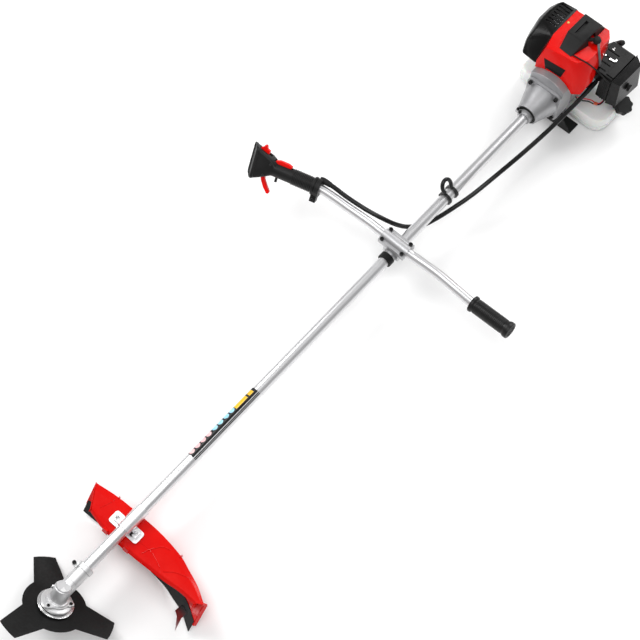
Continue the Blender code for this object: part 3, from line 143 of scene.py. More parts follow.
# %% Grain: the fine skin of a mould or a casting
def build_grain_group():
    group = new_group("Grain", {"Scale": 900.0, "Pits": 0.5}, ["Height", "Speckle"])
    start = group.nodes.new("NodeGroupInput")
    end = group.nodes.new("NodeGroupOutput")
    place = node(group, "ShaderNodeTexCoord").outputs["Object"]
    fine = node(group, "ShaderNodeTexNoise", [("Vector", place), ("Scale", start.outputs["Scale"])],
                Detail=3.0)
    pits = node(group, "ShaderNodeTexVoronoi", [("Vector", place), ("Scale", start.outputs["Scale"])])
    mix = node(group, "ShaderNodeMix", [("Factor", start.outputs["Pits"]), ("A", fine.outputs["Fac"]),
                                        ("B", pits.outputs["Distance"])])
    group.links.new(mix.outputs["Result"], end.inputs["Height"])
    group.links.new(fine.outputs["Fac"], end.inputs["Speckle"])
    return group


# %% Brushing: long fine lines left by a belt or a drawing die
def build_brush_group():
    group = new_group("Brushing", {"Stretch": (900.0, 14.0, 900.0)}, ["Lines", "Bands"])
    start = group.nodes.new("NodeGroupInput")
    end = group.nodes.new("NodeGroupOutput")
    place = node(group, "ShaderNodeTexCoord").outputs["Object"]
    long = node(group, "ShaderNodeVectorMath", [(0, place), (1, start.outputs["Stretch"])],
                operation="MULTIPLY")
    lines = node(group, "ShaderNodeTexNoise", [("Vector", long.outputs["Vector"])], Scale=1.0, Detail=3.0)
    bands = node(group, "ShaderNodeTexNoise", [("Vector", long.outputs["Vector"])], Scale=0.12, Detail=2.0)
    group.links.new(lines.outputs["Fac"], end.inputs["Lines"])
    group.links.new(bands.outputs["Fac"], end.inputs["Bands"])
    return group


WEAR = build_wear_group()
GRAIN = build_grain_group()
BRUSHING = build_brush_group()
print("node groups:", [g.name for g in (WEAR, GRAIN, BRUSHING)])

# %% [markdown]
# ## Finishes
# Each finish starts from one Principled shader. Two close colours are mixed by a smudge mask, the
# roughness wanders a little and a fine bump breaks up the gloss, because no real surface is even.


# %% One recipe for all plain finishes
def finish(name, colour, other, rough=(0.3, 0.4), metallic=0.0, grain=900.0, bump=0.02, pits=0.4,
           edge=None, lines=None, smudge=14.0, **sockets):
    made = bpy.data.materials.new(name)
    made.use_nodes = True
    made.diffuse_color = (*colour, 1)
    tree = made.node_tree
    shader = tree.nodes["Principled BSDF"]
    shader.inputs["Metallic"].default_value = metallic
    for label, value in sockets.items():
        shader.inputs[label.replace("_", " ").title().replace("Ior", "IOR")].default_value = value
    wear = node(tree, "ShaderNodeGroup", node_tree=WEAR)
    wear.inputs["Smudge Scale"].default_value = smudge
    skin = node(tree, "ShaderNodeGroup", node_tree=GRAIN)
    skin.inputs["Scale"].default_value = grain
    skin.inputs["Pits"].default_value = pits
    mask, height = wear.outputs["Smudge"], skin.outputs["Height"]
    if lines:
        brush = node(tree, "ShaderNodeGroup", node_tree=BRUSHING)
        brush.inputs["Stretch"].default_value = lines
        mask, height = brush.outputs["Bands"], brush.outputs["Lines"]
    paint = node(tree, "ShaderNodeMix", [("Factor", mask)], data_type="RGBA")
    paint.inputs["A"].default_value = (*colour, 1)
    paint.inputs["B"].default_value = (*other, 1)
    colours = paint.outputs["Result"]
    if edge:
        rubbed = node(tree, "ShaderNodeMix", [("Factor", wear.outputs["Edge"]), ("A", colours)],
                      data_type="RGBA")
        rubbed.inputs["B"].default_value = (*edge, 1)
        colours = rubbed.outputs["Result"]
    tree.links.new(colours, shader.inputs["Base Color"])
    tree.links.new(remap(tree, mask, 0.0, 1.0, *rough), shader.inputs["Roughness"])
    relief = node(tree, "ShaderNodeBump", [("Height", height)], Strength=bump, Distance=0.0004)
    tree.links.new(relief.outputs["Normal"], shader.inputs["Normal"])
    return made


# %% [markdown]
# ### Metals
# The shaft and the bar are drawn aluminium tube with a satin skin, so their lines run along the tube.
# The castings are blasted, which gives a fine sparkle and no lines. The flanges are plated and smoother.

# %% Metals
TUBE = finish("satin_tube", (0.74, 0.74, 0.75), (0.68, 0.68, 0.69), (0.32, 0.40), 1.0,
              lines=(1100.0, 16.0, 1100.0), bump=0.05)
BAR = finish("satin_bar", (0.74, 0.74, 0.75), (0.68, 0.68, 0.69), (0.32, 0.40), 1.0,
             lines=(16.0, 1100.0, 1100.0), bump=0.05)
CASTING = finish("blasted_casting", (0.42, 0.42, 0.43), (0.34, 0.34, 0.35), (0.44, 0.58), 0.9,
                 grain=1500.0, bump=0.12, pits=0.3, edge=(0.85, 0.85, 0.86))
HEAD_CASTING = finish("tumbled_casting", (0.66, 0.66, 0.66), (0.58, 0.58, 0.59), (0.40, 0.52), 0.85,
                      grain=1300.0, bump=0.10, pits=0.3, edge=(0.92, 0.92, 0.92))
MACHINED = finish("machined_steel", (0.62, 0.62, 0.63), (0.50, 0.50, 0.52), (0.22, 0.36), 1.0,
                  grain=700.0, bump=0.04)
PLATED = finish("plated_steel", (0.86, 0.86, 0.86), (0.78, 0.78, 0.79), (0.16, 0.26), 1.0, bump=0.01)
BRASS = finish("yellow_zinc", (0.62, 0.54, 0.16), (0.52, 0.46, 0.14), (0.30, 0.42), 1.0, bump=0.02)
BRACKET = finish("zinc_plate", (0.80, 0.80, 0.81), (0.72, 0.72, 0.74), (0.35, 0.5), 1.0, bump=0.05)

# %% [markdown]
# ### Paint, plastic and rubber
# The guard and the hood are glossy red mouldings. Black plastics reflect little, or they would look
# grey under large lamps. Housings are semi-gloss, grips are duller and rubber is the dullest.

# %% Paints and plastics
RED = finish("red_moulding", (0.62, 0.002, 0.001), (0.68, 0.004, 0.001), (0.16, 0.24), 0.0,
             grain=500.0, bump=0.012, specular_ior_level=0.22)
RED_DULL = finish("red_lever", (0.76, 0.003, 0.001), (0.82, 0.006, 0.002), (0.3, 0.4), 0.0, bump=0.02,
                  specular_ior_level=0.2)
BLADE_PAINT = finish("blade_paint", (0.004, 0.004, 0.004), (0.008, 0.008, 0.008), (0.34, 0.48), 0.0,
                     grain=1200.0, bump=0.05, edge=(0.05, 0.05, 0.05), specular_ior_level=0.12)
BLACK_GLOSS = finish("black_housing", (0.003, 0.003, 0.003), (0.007, 0.007, 0.007), (0.22, 0.34), 0.0,
                     grain=1100.0, bump=0.04, specular_ior_level=0.16)
BLACK_DULL = finish("black_moulding", (0.008, 0.008, 0.008), (0.014, 0.014, 0.014), (0.38, 0.52), 0.0,
                    grain=1400.0, bump=0.10, specular_ior_level=0.2)
RUBBER = finish("black_rubber", (0.006, 0.006, 0.006), (0.012, 0.012, 0.012), (0.5, 0.68), 0.0,
                grain=1300.0, bump=0.12, specular_ior_level=0.2)
GRIP_RUBBER = finish("grip_rubber", (0.007, 0.007, 0.007), (0.016, 0.016, 0.016), (0.36, 0.50), 0.0,
                     grain=1600.0, bump=0.12, specular_ior_level=0.28)
CABLE_SKIN = finish("cable_skin", (0.004, 0.004, 0.004), (0.008, 0.008, 0.008), (0.22, 0.32), 0.0,
                    grain=900.0, bump=0.02, specular_ior_level=0.35)
SCREW_BLACK = finish("black_oxide", (0.016, 0.016, 0.017), (0.010, 0.010, 0.010), (0.30, 0.42), 0.5,
                     bump=0.04, edge=(0.10, 0.10, 0.10), specular_ior_level=0.3)
CERAMIC = finish("plug_ceramic", (0.82, 0.82, 0.80), (0.76, 0.76, 0.74), (0.1, 0.16), 0.0, bump=0.01)
GREY_CABLE = finish("grey_lead", (0.16, 0.16, 0.17), (0.10, 0.10, 0.11), (0.3, 0.4), 0.0, bump=0.02)
RED_WIRE = finish("red_wire", (0.75, 0.03, 0.06), (0.65, 0.02, 0.04), (0.3, 0.4), 0.0, bump=0.01)
ORANGE = finish("orange_plug", (0.75, 0.13, 0.05), (0.70, 0.10, 0.04), (0.35, 0.45), 0.0, bump=0.02)

# %% [markdown]
# ### The tank
# The tank is blown from milky plastic that lets light in a little way. Subsurface scattering of a few
# millimetres gives it a soft glow.

# %% Milky tank plastic
MILKY = finish("milky_tank", (0.84, 0.84, 0.83), (0.78, 0.78, 0.76), (0.26, 0.36), 0.0, grain=500.0,
               bump=0.02, subsurface_weight=0.25, subsurface_scale=0.006)

# %% [markdown]
# ## Mesh helpers
# Every added piece is built from three moves that real makers use: turning, extruding and bending a
# tube. Each helper returns points and faces, and `piece` makes the object and hangs it on its body.


# %% Turning: rings joined by skin
def ring(radius, height, sides=32, corners=0):
    """Points round Z: a circle, or a polygon with this many corners."""
    points = []
    for i in range(sides):
        angle = 2 * pi * i / sides
        reach = radius
        if corners:
            half = pi / corners
            reach = radius * cos(half) / cos((angle % (2 * half)) - half)
        points.append(Vector((reach * cos(angle), reach * sin(angle), height)))
    return points


def skin(rings, closed=False):
    """Joins rings of equal length. An open run gets a cap at each end, a closed one joins up."""
    count = len(rings[0])
    points = [p for loop in rings for p in loop]
    faces = []
    last = len(rings) if closed else len(rings) - 1
    for row in range(last):
        a, b = row * count, ((row + 1) % len(rings)) * count
        for i in range(count):
            j = (i + 1) % count
            faces.append([a + i, a + j, b + j, b + i])
    if not closed:
        faces.append(list(range(count))[::-1])
        faces.append([(len(rings) - 1) * count + i for i in range(count)])
    return points, faces


def lathe(profile, sides=32, closed=False):
    return skin([ring(radius, height, sides) for radius, height in profile], closed)


def extrude(outline, low, high):
    return skin([[Vector((x, y, z)) for x, y in outline] for z in (low, high)])


def box(low, high):
    return extrude([(low[0], low[1]), (high[0], low[1]), (high[0], high[1]), (low[0], high[1])],
                   low[2], high[2])


def moved(shape, matrix):
    return [matrix @ Vector(p) for p in shape[0]], shape[1]


def merged(*shapes):
    points, faces = [], []
    for more, sides in shapes:
        start = len(points)
        points += more
        faces += [[start + i for i in side] for side in sides]
    return points, faces


# %% Bending: a round rod along a smooth line
def smooth_line(stops, steps):
    """A Catmull-Rom curve through the stops."""
    stops = [Vector(p) for p in stops]
    ends = [2 * stops[0] - stops[1]] + stops + [2 * stops[-1] - stops[-2]]
    line = []
    for a, b, c, d in zip(ends, ends[1:], ends[2:], ends[3:]):
        for i in range(steps):
            t = i / steps
            line.append(0.5 * (2 * b + (c - a) * t + (2 * a - 5 * b + 4 * c - d) * t * t
                               + (3 * b - a - 3 * c + d) * t ** 3))
    line.append(stops[-1])
    return line


def sweep(line, section):
    """Carries a section (side, up) along a line without twist. section(k) gives its points."""
    side = (line[1] - line[0]).orthogonal().normalized()
    rings = []
    for k, point in enumerate(line):
        tangent = (line[min(k + 1, len(line) - 1)] - line[max(k - 1, 0)]).normalized()
        side = (side - tangent * side.dot(tangent)).normalized()
        up = tangent.cross(side)
        rings.append([point + side * x + up * y for x, y in section(k)])
    return skin(rings)


def rod(line, radius, sides=20):
    circle = [(radius * cos(2 * pi * i / sides), radius * sin(2 * pi * i / sides)) for i in range(sides)]
    return sweep(line, lambda k: circle)


# %% Convex bodies and objects
def hull(corners):
    work = bmesh.new()
    for corner in corners:
        work.verts.new(corner)
    found = bmesh.ops.convex_hull(work, input=work.verts)
    spare = [g for g in found["geom_interior"] if isinstance(g, bmesh.types.BMVert)]
    bmesh.ops.delete(work, geom=spare, context="VERTS")
    bmesh.ops.dissolve_limit(work, angle_limit=radians(2), verts=work.verts, edges=work.edges)
    work.verts.index_update()
    shape = [v.co.copy() for v in work.verts], [[v.index for v in f.verts] for f in work.faces]
    work.free()
    return shape


def raw_object(name, shape, matrix=SHAFT):
    points, faces = moved(shape, matrix)
    mesh = bpy.data.meshes.new(name)
    mesh.from_pydata([tuple(p) for p in points], [], faces)
    work = bmesh.new()
    work.from_mesh(mesh)
    bmesh.ops.recalc_face_normals(work, faces=work.faces)
    work.to_mesh(mesh)
    work.free()
    made = bpy.data.objects.new(name, mesh)
    bpy.context.scene.collection.objects.link(made)
    return made


def settle(obj):
    """Turns an object's modifiers into its mesh."""
    graph = bpy.context.evaluated_depsgraph_get()
    mesh = bpy.data.meshes.new_from_object(obj.evaluated_get(graph))
    obj.modifiers.clear()
    obj.data = mesh
    return obj


def carve(obj, *shapes, operation="DIFFERENCE", matrix=SHAFT):
    """Cuts shapes away from an object, or welds them on."""
    for shape in shapes:
        tool = raw_object("tool", shape, matrix)
        step = obj.modifiers.new("cut", "BOOLEAN")
        step.operation = operation
        step.solver = "EXACT"
        step.object = tool
        bpy.context.view_layer.update()
        settle(obj)
        bpy.data.objects.remove(tool, do_unlink=True)
    return obj


def round_edges(obj, width, segments=2, angle=30):
    """Breaks the sharp edges, as every moulded or machined edge is broken."""
    weld = obj.modifiers.new("weld", "WELD")
    weld.merge_threshold = 0.00001
    flat = obj.modifiers.new("flat faces", "DECIMATE")
    flat.decimate_type = "DISSOLVE"
    flat.angle_limit = radians(1.0)
    bevel = obj.modifiers.new("broken edges", "BEVEL")
    bevel.width = width
    bevel.segments = segments
    bevel.limit_method = "ANGLE"
    bevel.angle_limit = radians(angle)
    bevel.harden_normals = True
    obj.data.shade_smooth()
    return obj


def piece(name, shape, material, body="frame", matrix=SHAFT, edges=0.0, segments=2, angle=30,
          cuts=(), adds=(), replaces=()):
    """One finished piece: mesh, cuts, rounded edges, material and the body it rides on."""
    made = raw_object(name, shape, matrix)
    carve(made, *adds, operation="UNION", matrix=matrix)
    carve(made, *cuts, matrix=matrix)
    made.data.materials.clear()
    made.data.materials.append(material)
    if edges:
        round_edges(made, edges, segments, angle)
    else:
        made.data.shade_smooth()
        made.data.set_sharp_from_angle(angle=radians(35))
    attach(made, body)
    if replaces:
        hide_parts(*replaces)
    return made


# %% [markdown]
# ## Dressing the measured parts
# A measured part has knife-sharp edges, which no real part has. Instead of changing its mesh, which
# must stay as measured, modifiers weld the seams, clear the flat faces and round each edge a little.

# %% Which finish and which edge each part gets
DRESS = [
    (TUBE, 0.0004, "shaft_tube"),
    (HEAD_CASTING, 0.0009, "gear_case bearing_cover"),
    (CASTING, 0.0008, "handle_clamp_upper handle_clamp_lower handle_clamp_strap tube_sleeve"),
    (CASTING, 0.0014, "clutch_housing fan_housing crankcase carburettor flywheel piston"),
    (CASTING, 0.0004, "cylinder"),
    (MACHINED, 0.0003, "output_shaft output_bearing bevel_gear bevel_pinion rider_cup blade_nut"),
    (MACHINED, 0.0003, "drive_shaft line_knife clutch_drum clutch_shoes crankshaft carb_throttle_lever"),
    (MACHINED, 0.0010, "muffler"),
    (BRACKET, 0.0006, "guard_bracket guard_clamp"),
    (PLATED, 0.0004, "upper_flange lower_flange"),
    (BLADE_PAINT, 0.0004, "blade"),
    (SCREW_BLACK, 0.0010, "harness_hanger"),
    (BLACK_DULL, 0.0005, "guard_skirt shaft_liner latch_button"),
    (BLACK_DULL, 0.0012, "throttle_grip tank_stand starter_handle choke_lever filter_knob"),
    (BLACK_GLOSS, 0.0016, "air_filter_case air_filter_cover starter_housing"),
    (BLACK_DULL, 0.0018, "fuel_cap"),
    (RUBBER, 0.0008, "tube_collar rubber_damper plug_boot"),
    (RED, 0.0016, "cylinder_cover"),
    (RED_DULL, 0.0012, "throttle_trigger lockout_lever stop_switch"),
    (CERAMIC, 0.0003, "spark_plug"),
    (MILKY, 0.0015, "fuel_tank"),
    (RUBBER, 0.0008, "plain_grip throttle_cable"),
    (BLACK_GLOSS, 0.0010, "plug_cover muffler_cover"),
    (RED, 0.0008, "guard"),
    (BAR, 0.0004, "handlebar"),
]


# %% Dress them
def dress(name, material, width):
    part = frame["nodes"][name]
    part.data.materials.clear()
    part.data.materials.append(material)
    spare = part.data.attributes.get("custom_normal")
    if spare:
        part.data.attributes.remove(spare)
    round_edges(part, width, 3 if width > 0.001 else 2)


for material, width, names in DRESS:
    for name in names.split():
        dress(name, material, width)
undressed = set(frame["nodes"]) - {n for row in DRESS for n in row[2].split()}
print("parts without a finish:", sorted(undressed))

# %% [markdown]
# ## Screws
# The frame is held by socket cap screws with black heads. One turned profile makes them all: a head
# with a broken edge, a six-sided socket sunk into it and a shank that reaches into the hole below.


# %% Socket screws and hexagon screws
def socket_screw(head, height, shank, reach):
    """A cap screw whose head stands on z = 0, with its shank below."""
    rings = [ring(shank, -reach), ring(shank, 0), ring(head, 0), ring(head, height * 0.86),
             ring(head * 0.88, height), ring(head * 0.56, height, corners=6),
             ring(head * 0.56, height * 0.45, corners=6)]
    return skin(rings)


def hex_screw(flats, height, shank, reach):
    rings = [ring(shank, -reach, 24), ring(shank, 0, 24), ring(flats, 0, 24, 6),
             ring(flats, height * 0.75, 24, 6), ring(flats * 0.84, height, 24)]
    return skin(rings)


def at_each(shape, places):
    return merged(*[moved(shape, place) for place in places])


DOWN_SHAFT = Matrix.Rotation(pi / 2, 4, "X")
clamp_places = [Matrix.Translation((x, 1.0450 + y, 0.0362)) for x in (-0.0285, 0.0285)
                for y in (-0.0160, 0.0160)]
piece("clamp_screws", at_each(socket_screw(0.0046, 0.0046, 0.0026, 0.0150), clamp_places), SCREW_BLACK,
      edges=0.0002, segments=1)
housing_places = [Matrix.Translation((x, 1.5770, z)) @ DOWN_SHAFT for x in (-0.0373, 0.0373)
                  for z in (-0.0373, 0.0373)]
piece("housing_screws", at_each(socket_screw(0.0052, 0.0062, 0.0028, 0.0150), housing_places),
      SCREW_BLACK, edges=0.0002, segments=1)
guard_places = [Matrix.Translation((x, 0.192, z)) for x, z in ((-0.029, -0.0090), (0.023, -0.0090))]
piece("guard_screws", at_each(socket_screw(0.0044, 0.0040, 0.0029, 0.0110), guard_places), MACHINED,
      edges=0.0002, segments=1)

# %% Screws of the gear head and the sleeve
head_places = [Matrix.Translation((0.0285 * cos(a), 0.0285 * sin(a), -0.0143))
               for a in (radians(-90), radians(30), radians(150))]
piece("cover_screws", at_each(socket_screw(0.0036, 0.0016, 0.0016, 0.0030), head_places), SCREW_BLACK,
      matrix=HEAD, edges=0.0002, segments=1)
piece("pinch_screw", moved(socket_screw(0.0044, 0.0052, 0.0024, 0.0140),
                           Matrix.Translation((-0.0205, 0.0640, 0.0146))), SCREW_BLACK, edges=0.0002)
piece("grease_screw", moved(hex_screw(0.0050, 0.0038, 0.0025, 0.0070),
                            Matrix.Translation((-0.0187, 0, 0.0040)) @ Matrix.Rotation(-pi / 2, 4, "Y")),
      MACHINED, matrix=HEAD, edges=0.0002)
sleeve_places = [Matrix.Translation((-0.0205, 1.5118, 0.0121)),
                 Matrix.Translation((-0.0120, 1.5085, 0.0150)) @ DOWN_SHAFT]
piece("sleeve_screws", at_each(socket_screw(0.0036, 0.0040, 0.0018, 0.0040), sleeve_places),
      SCREW_BLACK, edges=0.0002)

# %% [markdown]
# ## The gear head
# The head is one casting: a round tower for the output shaft, a socket for the tube with a raised
# collar, and a three-eared flange. It is turned and joined again here with finer curves and grooves.


# %% Gear head casting
def head_parts():
    """The tower, with the flange and the neck to join to it, in the head's own axes."""
    to_head = HEAD.inverted() @ SHAFT @ ALONG_SHAFT
    tower = lathe([(0.0, -0.0180), (0.0225, -0.0180), (0.0225, -0.0120), (0.0212, -0.0108),
                   (0.0190, -0.0104), (0.0184, -0.0098), (0.0182, 0.0205), (0.0176, 0.0222),
                   (0.0166, 0.0230), (0.0161, 0.0226), (0.0155, 0.0232), (0.0155, 0.0258),
                   (0.0148, 0.0268), (0.0, 0.0270)], 56)
    outline = []
    for i in range(96):
        angle = 2 * pi * i / 96
        reach = 0.0250 + max(0.0, cos(3 * (angle + pi / 2))) ** 3 * 0.0105
        outline.append((reach * cos(angle), reach * sin(angle)))
    flange = extrude(outline, -0.0178, -0.0145)
    neck = moved(lathe([(0.0, 0.0060), (0.0165, 0.0060), (0.0165, 0.0330), (0.0158, 0.0334),
                        (0.0158, 0.0342), (0.0166, 0.0346), (0.0166, 0.0638), (0.0160, 0.0641),
                        (0.0160, 0.0647), (0.0186, 0.0652), (0.0186, 0.0760), (0.0178, 0.0770),
                        (0.0, 0.0770)], 56), to_head)
    lug = moved(box((-0.0250, 0.0590, 0.0040), (-0.0120, 0.0692, 0.0143)), HEAD.inverted() @ SHAFT)
    bore = moved(lathe([(0.0, 0.0453), (0.0131, 0.0453), (0.0131, 0.0800), (0.0, 0.0800)], 40), to_head)
    slit = moved(box((-0.0300, 0.0540, 0.0084), (-0.0100, 0.0800, 0.0094)), HEAD.inverted() @ SHAFT)
    room = lathe([(0.0, -0.0190), (0.0150, -0.0190), (0.0150, 0.0160), (0.0, 0.0160)], 32)
    return tower, [flange, neck, lug], [bore, slit, room]


tower, joined, hollowed = head_parts()
piece("head_casting", tower, HEAD_CASTING, matrix=HEAD, adds=joined, cuts=hollowed, edges=0.0004, angle=28,
      replaces=["gear_case"])

# %% [markdown]
# ## The handlebar and the left grip
# The bar is one drawn tube bent in several gentle places, so a rod swept along a smooth line is the
# honest way to make it. The grip is moulded rubber with many small rings that stop a glove slipping.

# %% Handlebar
BAR_STOPS = [(-0.318, 1.0030, 0.0440), (-0.262, 1.0190, 0.0450), (-0.203, 1.0320, 0.0440),
             (-0.132, 1.0390, 0.0380), (-0.079, 1.0440, 0.0330), (-0.050, 1.0450, 0.0301),
             (-0.044, 1.0450, 0.0300), (0.044, 1.0450, 0.0300), (0.050, 1.0451, 0.0301),
             (0.079, 1.0455, 0.0330), (0.125, 1.0445, 0.0380), (0.185, 1.0395, 0.0430),
             (0.222, 1.0368, 0.0455), (0.270, 1.0360, 0.0490), (0.316, 1.0360, 0.0520)]
piece("bar_tube", rod(smooth_line(BAR_STOPS, 8), 0.0110, 36), BAR, replaces=["handlebar"])

# %% Left grip
GRIP_START, GRIP_END = Vector((0.2280, 1.0365, 0.0459)), Vector((0.3180, 1.0360, 0.0522))


def left_grip_profile(length):
    """Radius and height of the grip: a collar, twenty small rings and an end bead."""
    profile = [(0.0118, -0.0060), (0.0180, -0.0060), (0.0192, -0.0050), (0.0192, 0.0000),
               (0.0184, 0.0014), (0.0168, 0.0030)]
    first, step = 0.0060, (length - 0.0130) / 20
    for k in range(20):
        low = first + k * step
        profile += [(0.0163, low), (0.0174, low + step * 0.25), (0.0174, low + step * 0.60),
                    (0.0163, low + step * 0.85)]
    profile += [(0.0166, length - 0.0050), (0.0188, length - 0.0010), (0.0194, length + 0.0010),
                (0.0194, length + 0.0070), (0.0184, length + 0.0092), (0.0150, length + 0.0100),
                (0.0144, length + 0.0092), (0.0050, length + 0.0092)]
    return profile


grip_axis = GRIP_END - GRIP_START
piece("left_grip", moved(lathe(left_grip_profile(grip_axis.length), 40), aim(GRIP_START, grip_axis)),
      GRIP_RUBBER, replaces=["plain_grip"], edges=0.0002, segments=1, angle=50)


def grip_end_pattern():
    """Small raised studs in rings on the grip's end."""
    studs = []
    for radius, count in ((0.0040, 6), (0.0080, 12), (0.0118, 18)):
        for k in range(count):
            angle = 2 * pi * k / count
            spot = Matrix.Translation((radius * cos(angle), radius * sin(angle), 0))
            studs.append(moved(lathe([(0.0013, -0.0004), (0.0013, 0.0004), (0.0008, 0.0008)], 10), spot))
    return merged(*studs)


piece("grip_end_studs", moved(grip_end_pattern(), aim(GRIP_END + grip_axis.normalized() * 0.0092, grip_axis)),
      GRIP_RUBBER)

# %% [markdown]
# ## The throttle grip
# Its barrel has raised rings where the fingers close, and its housing opens into a wide rounded mouth.
# The rings are separate closed loops here: that keeps the barrel itself simple and exact.


# %% Rings, mouth plate and screws of the throttle grip
def barrel_rings():
    rings = []
    for k in range(12):
        low = 0.0175 + k * 0.0039
        profile = [(0.0166, low), (0.0182, low + 0.0004), (0.0186, low + 0.0011), (0.0182, low + 0.0018),
                   (0.0166, low + 0.0022)]
        rings.append(lathe(profile, 40, closed=True))
    return moved(merged(*rings), ACROSS)


piece("barrel_rings", barrel_rings(), GRIP_RUBBER, matrix=THROTTLE)


def rounded_box(half_x, half_y, corner, steps=6):
    outline = []
    for sx, sy, start in ((1, 1, 0), (-1, 1, 90), (-1, -1, 180), (1, -1, 270)):
        for i in range(steps + 1):
            angle = radians(start + 90 * i / steps)
            outline.append((sx * (half_x - corner) + corner * cos(angle),
                            sy * (half_y - corner) + corner * sin(angle)))
    return outline


# %% The flared housing of the throttle grip
def mouth_section(x, half_y, half_z, corner, centre_z=0.0, lean=0.0):
    """A rounded rectangle square to the grip's axis; lean tips its +Y side back."""
    return [Vector((x - lean * y, y, z + centre_z)) for y, z in rounded_box(half_y, half_z, corner)]


def flare():
    rings = [mouth_section(0.1050, 0.0158, 0.0168, 0.0150),
             mouth_section(0.1130, 0.0160, 0.0195, 0.0120, 0.003),
             mouth_section(0.1220, 0.0160, 0.0240, 0.0090, 0.003, 0.10),
             mouth_section(0.1400, 0.0160, 0.0310, 0.0080, 0.001, 0.30),
             mouth_section(0.1590, 0.0162, 0.0385, 0.0080, 0.0, 0.52),
             mouth_section(0.1610, 0.0176, 0.0400, 0.0090, 0.0, 0.52),
             mouth_section(0.1665, 0.0176, 0.0400, 0.0090, 0.0, 0.52),
             mouth_section(0.1672, 0.0160, 0.0382, 0.0080, 0.0, 0.52),
             mouth_section(0.1640, 0.0148, 0.0366, 0.0070, 0.0, 0.52)]
    return skin(rings)


throttle_cuts = [box((0.1120, -0.0050, -0.0600), (0.1520, 0.0050, -0.0100)),
                 box((0.0680, -0.0050, 0.0125), (0.1135, 0.0050, 0.0300)),
                 box((0.1230, -0.0045, 0.0220), (0.1560, 0.0045, 0.0500))]
barrel = moved(lathe([(0.0172, 0.0100), (0.0172, 0.1080)], 40), ACROSS)
band = moved(lathe([(0.0205, -0.0060), (0.0215, -0.0050), (0.0215, 0.0030), (0.0200, 0.0040),
                    (0.0200, 0.0060), (0.0215, 0.0070), (0.0215, 0.0120), (0.0205, 0.0130)], 40), ACROSS)
lug = box((-0.0030, -0.0080, -0.0360), (0.0110, 0.0080, -0.0150))
bar_way = rod([THROTTLE.inverted() @ (SHAFT @ p) for p in smooth_line(BAR_STOPS, 4)], 0.0112, 20)
piece("throttle_body", flare(), BLACK_DULL, matrix=THROTTLE, adds=[barrel, band, lug],
      cuts=throttle_cuts + [bar_way], edges=0.0007, segments=2, replaces=["throttle_grip"])
lug_screw = moved(socket_screw(0.0036, 0.0030, 0.0016, 0.0030),
                  Matrix.Translation((0.0040, 0.0080, -0.0300)) @ Matrix.Rotation(-pi / 2, 4, "X"))
seam_screws = [moved(lathe([(0.0026, -0.0010), (0.0026, 0.0006), (0.0014, 0.0008), (0.0014, 0.0002)], 16),
                     Matrix.Translation((x, 0.0160, z)) @ Matrix.Rotation(-pi / 2, 4, "X"))
               for x, z in ((0.1180, 0.0130), (0.1290, -0.0180))]
piece("throttle_screws", merged(lug_screw, *seam_screws), SCREW_BLACK, matrix=THROTTLE)

# %% [markdown]
# ## The throttle cable
# A bowden cable in a thick sleeve runs from the throttle grip, under the shaft, up to the carburettor.
# It is held at both ends, so its length is fixed and it only bows a little under its own weight.

# %% Throttle cable
CABLE_STOPS = [(-0.2090, 1.0480, 0.0545), (-0.1850, 1.0500, 0.0545), (-0.1500, 1.0520, 0.0510),
               (-0.1000, 1.0590, 0.0450), (-0.0600, 1.0720, 0.0330), (-0.0350, 1.0900, 0.0120),
               (-0.0180, 1.1150, -0.0120), (0.0000, 1.1450, -0.0220), (0.0120, 1.1800, -0.0230),
               (0.0230, 1.2200, -0.0200), (0.0380, 1.2730, -0.0080), (0.0520, 1.3400, 0.0100),
               (0.0630, 1.4150, 0.0200), (0.0700, 1.4900, 0.0240), (0.0740, 1.5450, 0.0300),
               (0.0780, 1.5950, 0.0400), (0.0790, 1.6300, 0.0430), (0.0790, 1.6550, 0.0450),
               (0.0790, 1.6740, 0.0480)]
cable_line = smooth_line(CABLE_STOPS, 6)
cable = piece("cable_sleeve", rod(cable_line, 0.0054, 28), CABLE_SKIN, replaces=["throttle_cable"])


def cable_boot(line, radii):
    turns = [2 * pi * i / 24 for i in range(24)]
    circles = [[(r * cos(t), r * sin(t)) for t in turns] for r in radii]
    return sweep(line, lambda k: circles[k])


entry = smooth_line([(-0.2230, 1.0450, 0.0530), (-0.2160, 1.0468, 0.0542), (-0.2060, 1.0483, 0.0546),
                     (-0.1960, 1.0493, 0.0546)], 4)
piece("cable_entry", cable_boot(entry, [0.0078] * 5 + [0.0076, 0.0074, 0.0072, 0.0070, 0.0068, 0.0064,
                                                       0.0062, 0.0060]), RUBBER)

# %% [markdown]
# ## The guard
# The guard is an injection moulding: a thin curved deck, a tall rear wall, flanges round both ends and
# shallow ribs that stiffen it. We loft the sheet through smooth edge lines and lay the ribs on it.

# %% The lines the guard is lofted through
GUARD_REAR = [(-0.119, 0.219), (-0.060, 0.2275), (0.000, 0.2300), (0.060, 0.2300), (0.120, 0.2230),
              (0.158, 0.2110), (0.192, 0.1990), (0.227, 0.1800)]
GUARD_FRONT = [(-0.087, 0.172), (-0.045, 0.1630), (0.000, 0.1600), (0.045, 0.1610), (0.095, 0.1640),
               (0.133, 0.1670), (0.170, 0.1720), (0.212, 0.1720)]
DECK_Z = -0.0170
DOWN_BLADE = Vector((0, -sin(radians(36.9)), -cos(radians(36.9))))


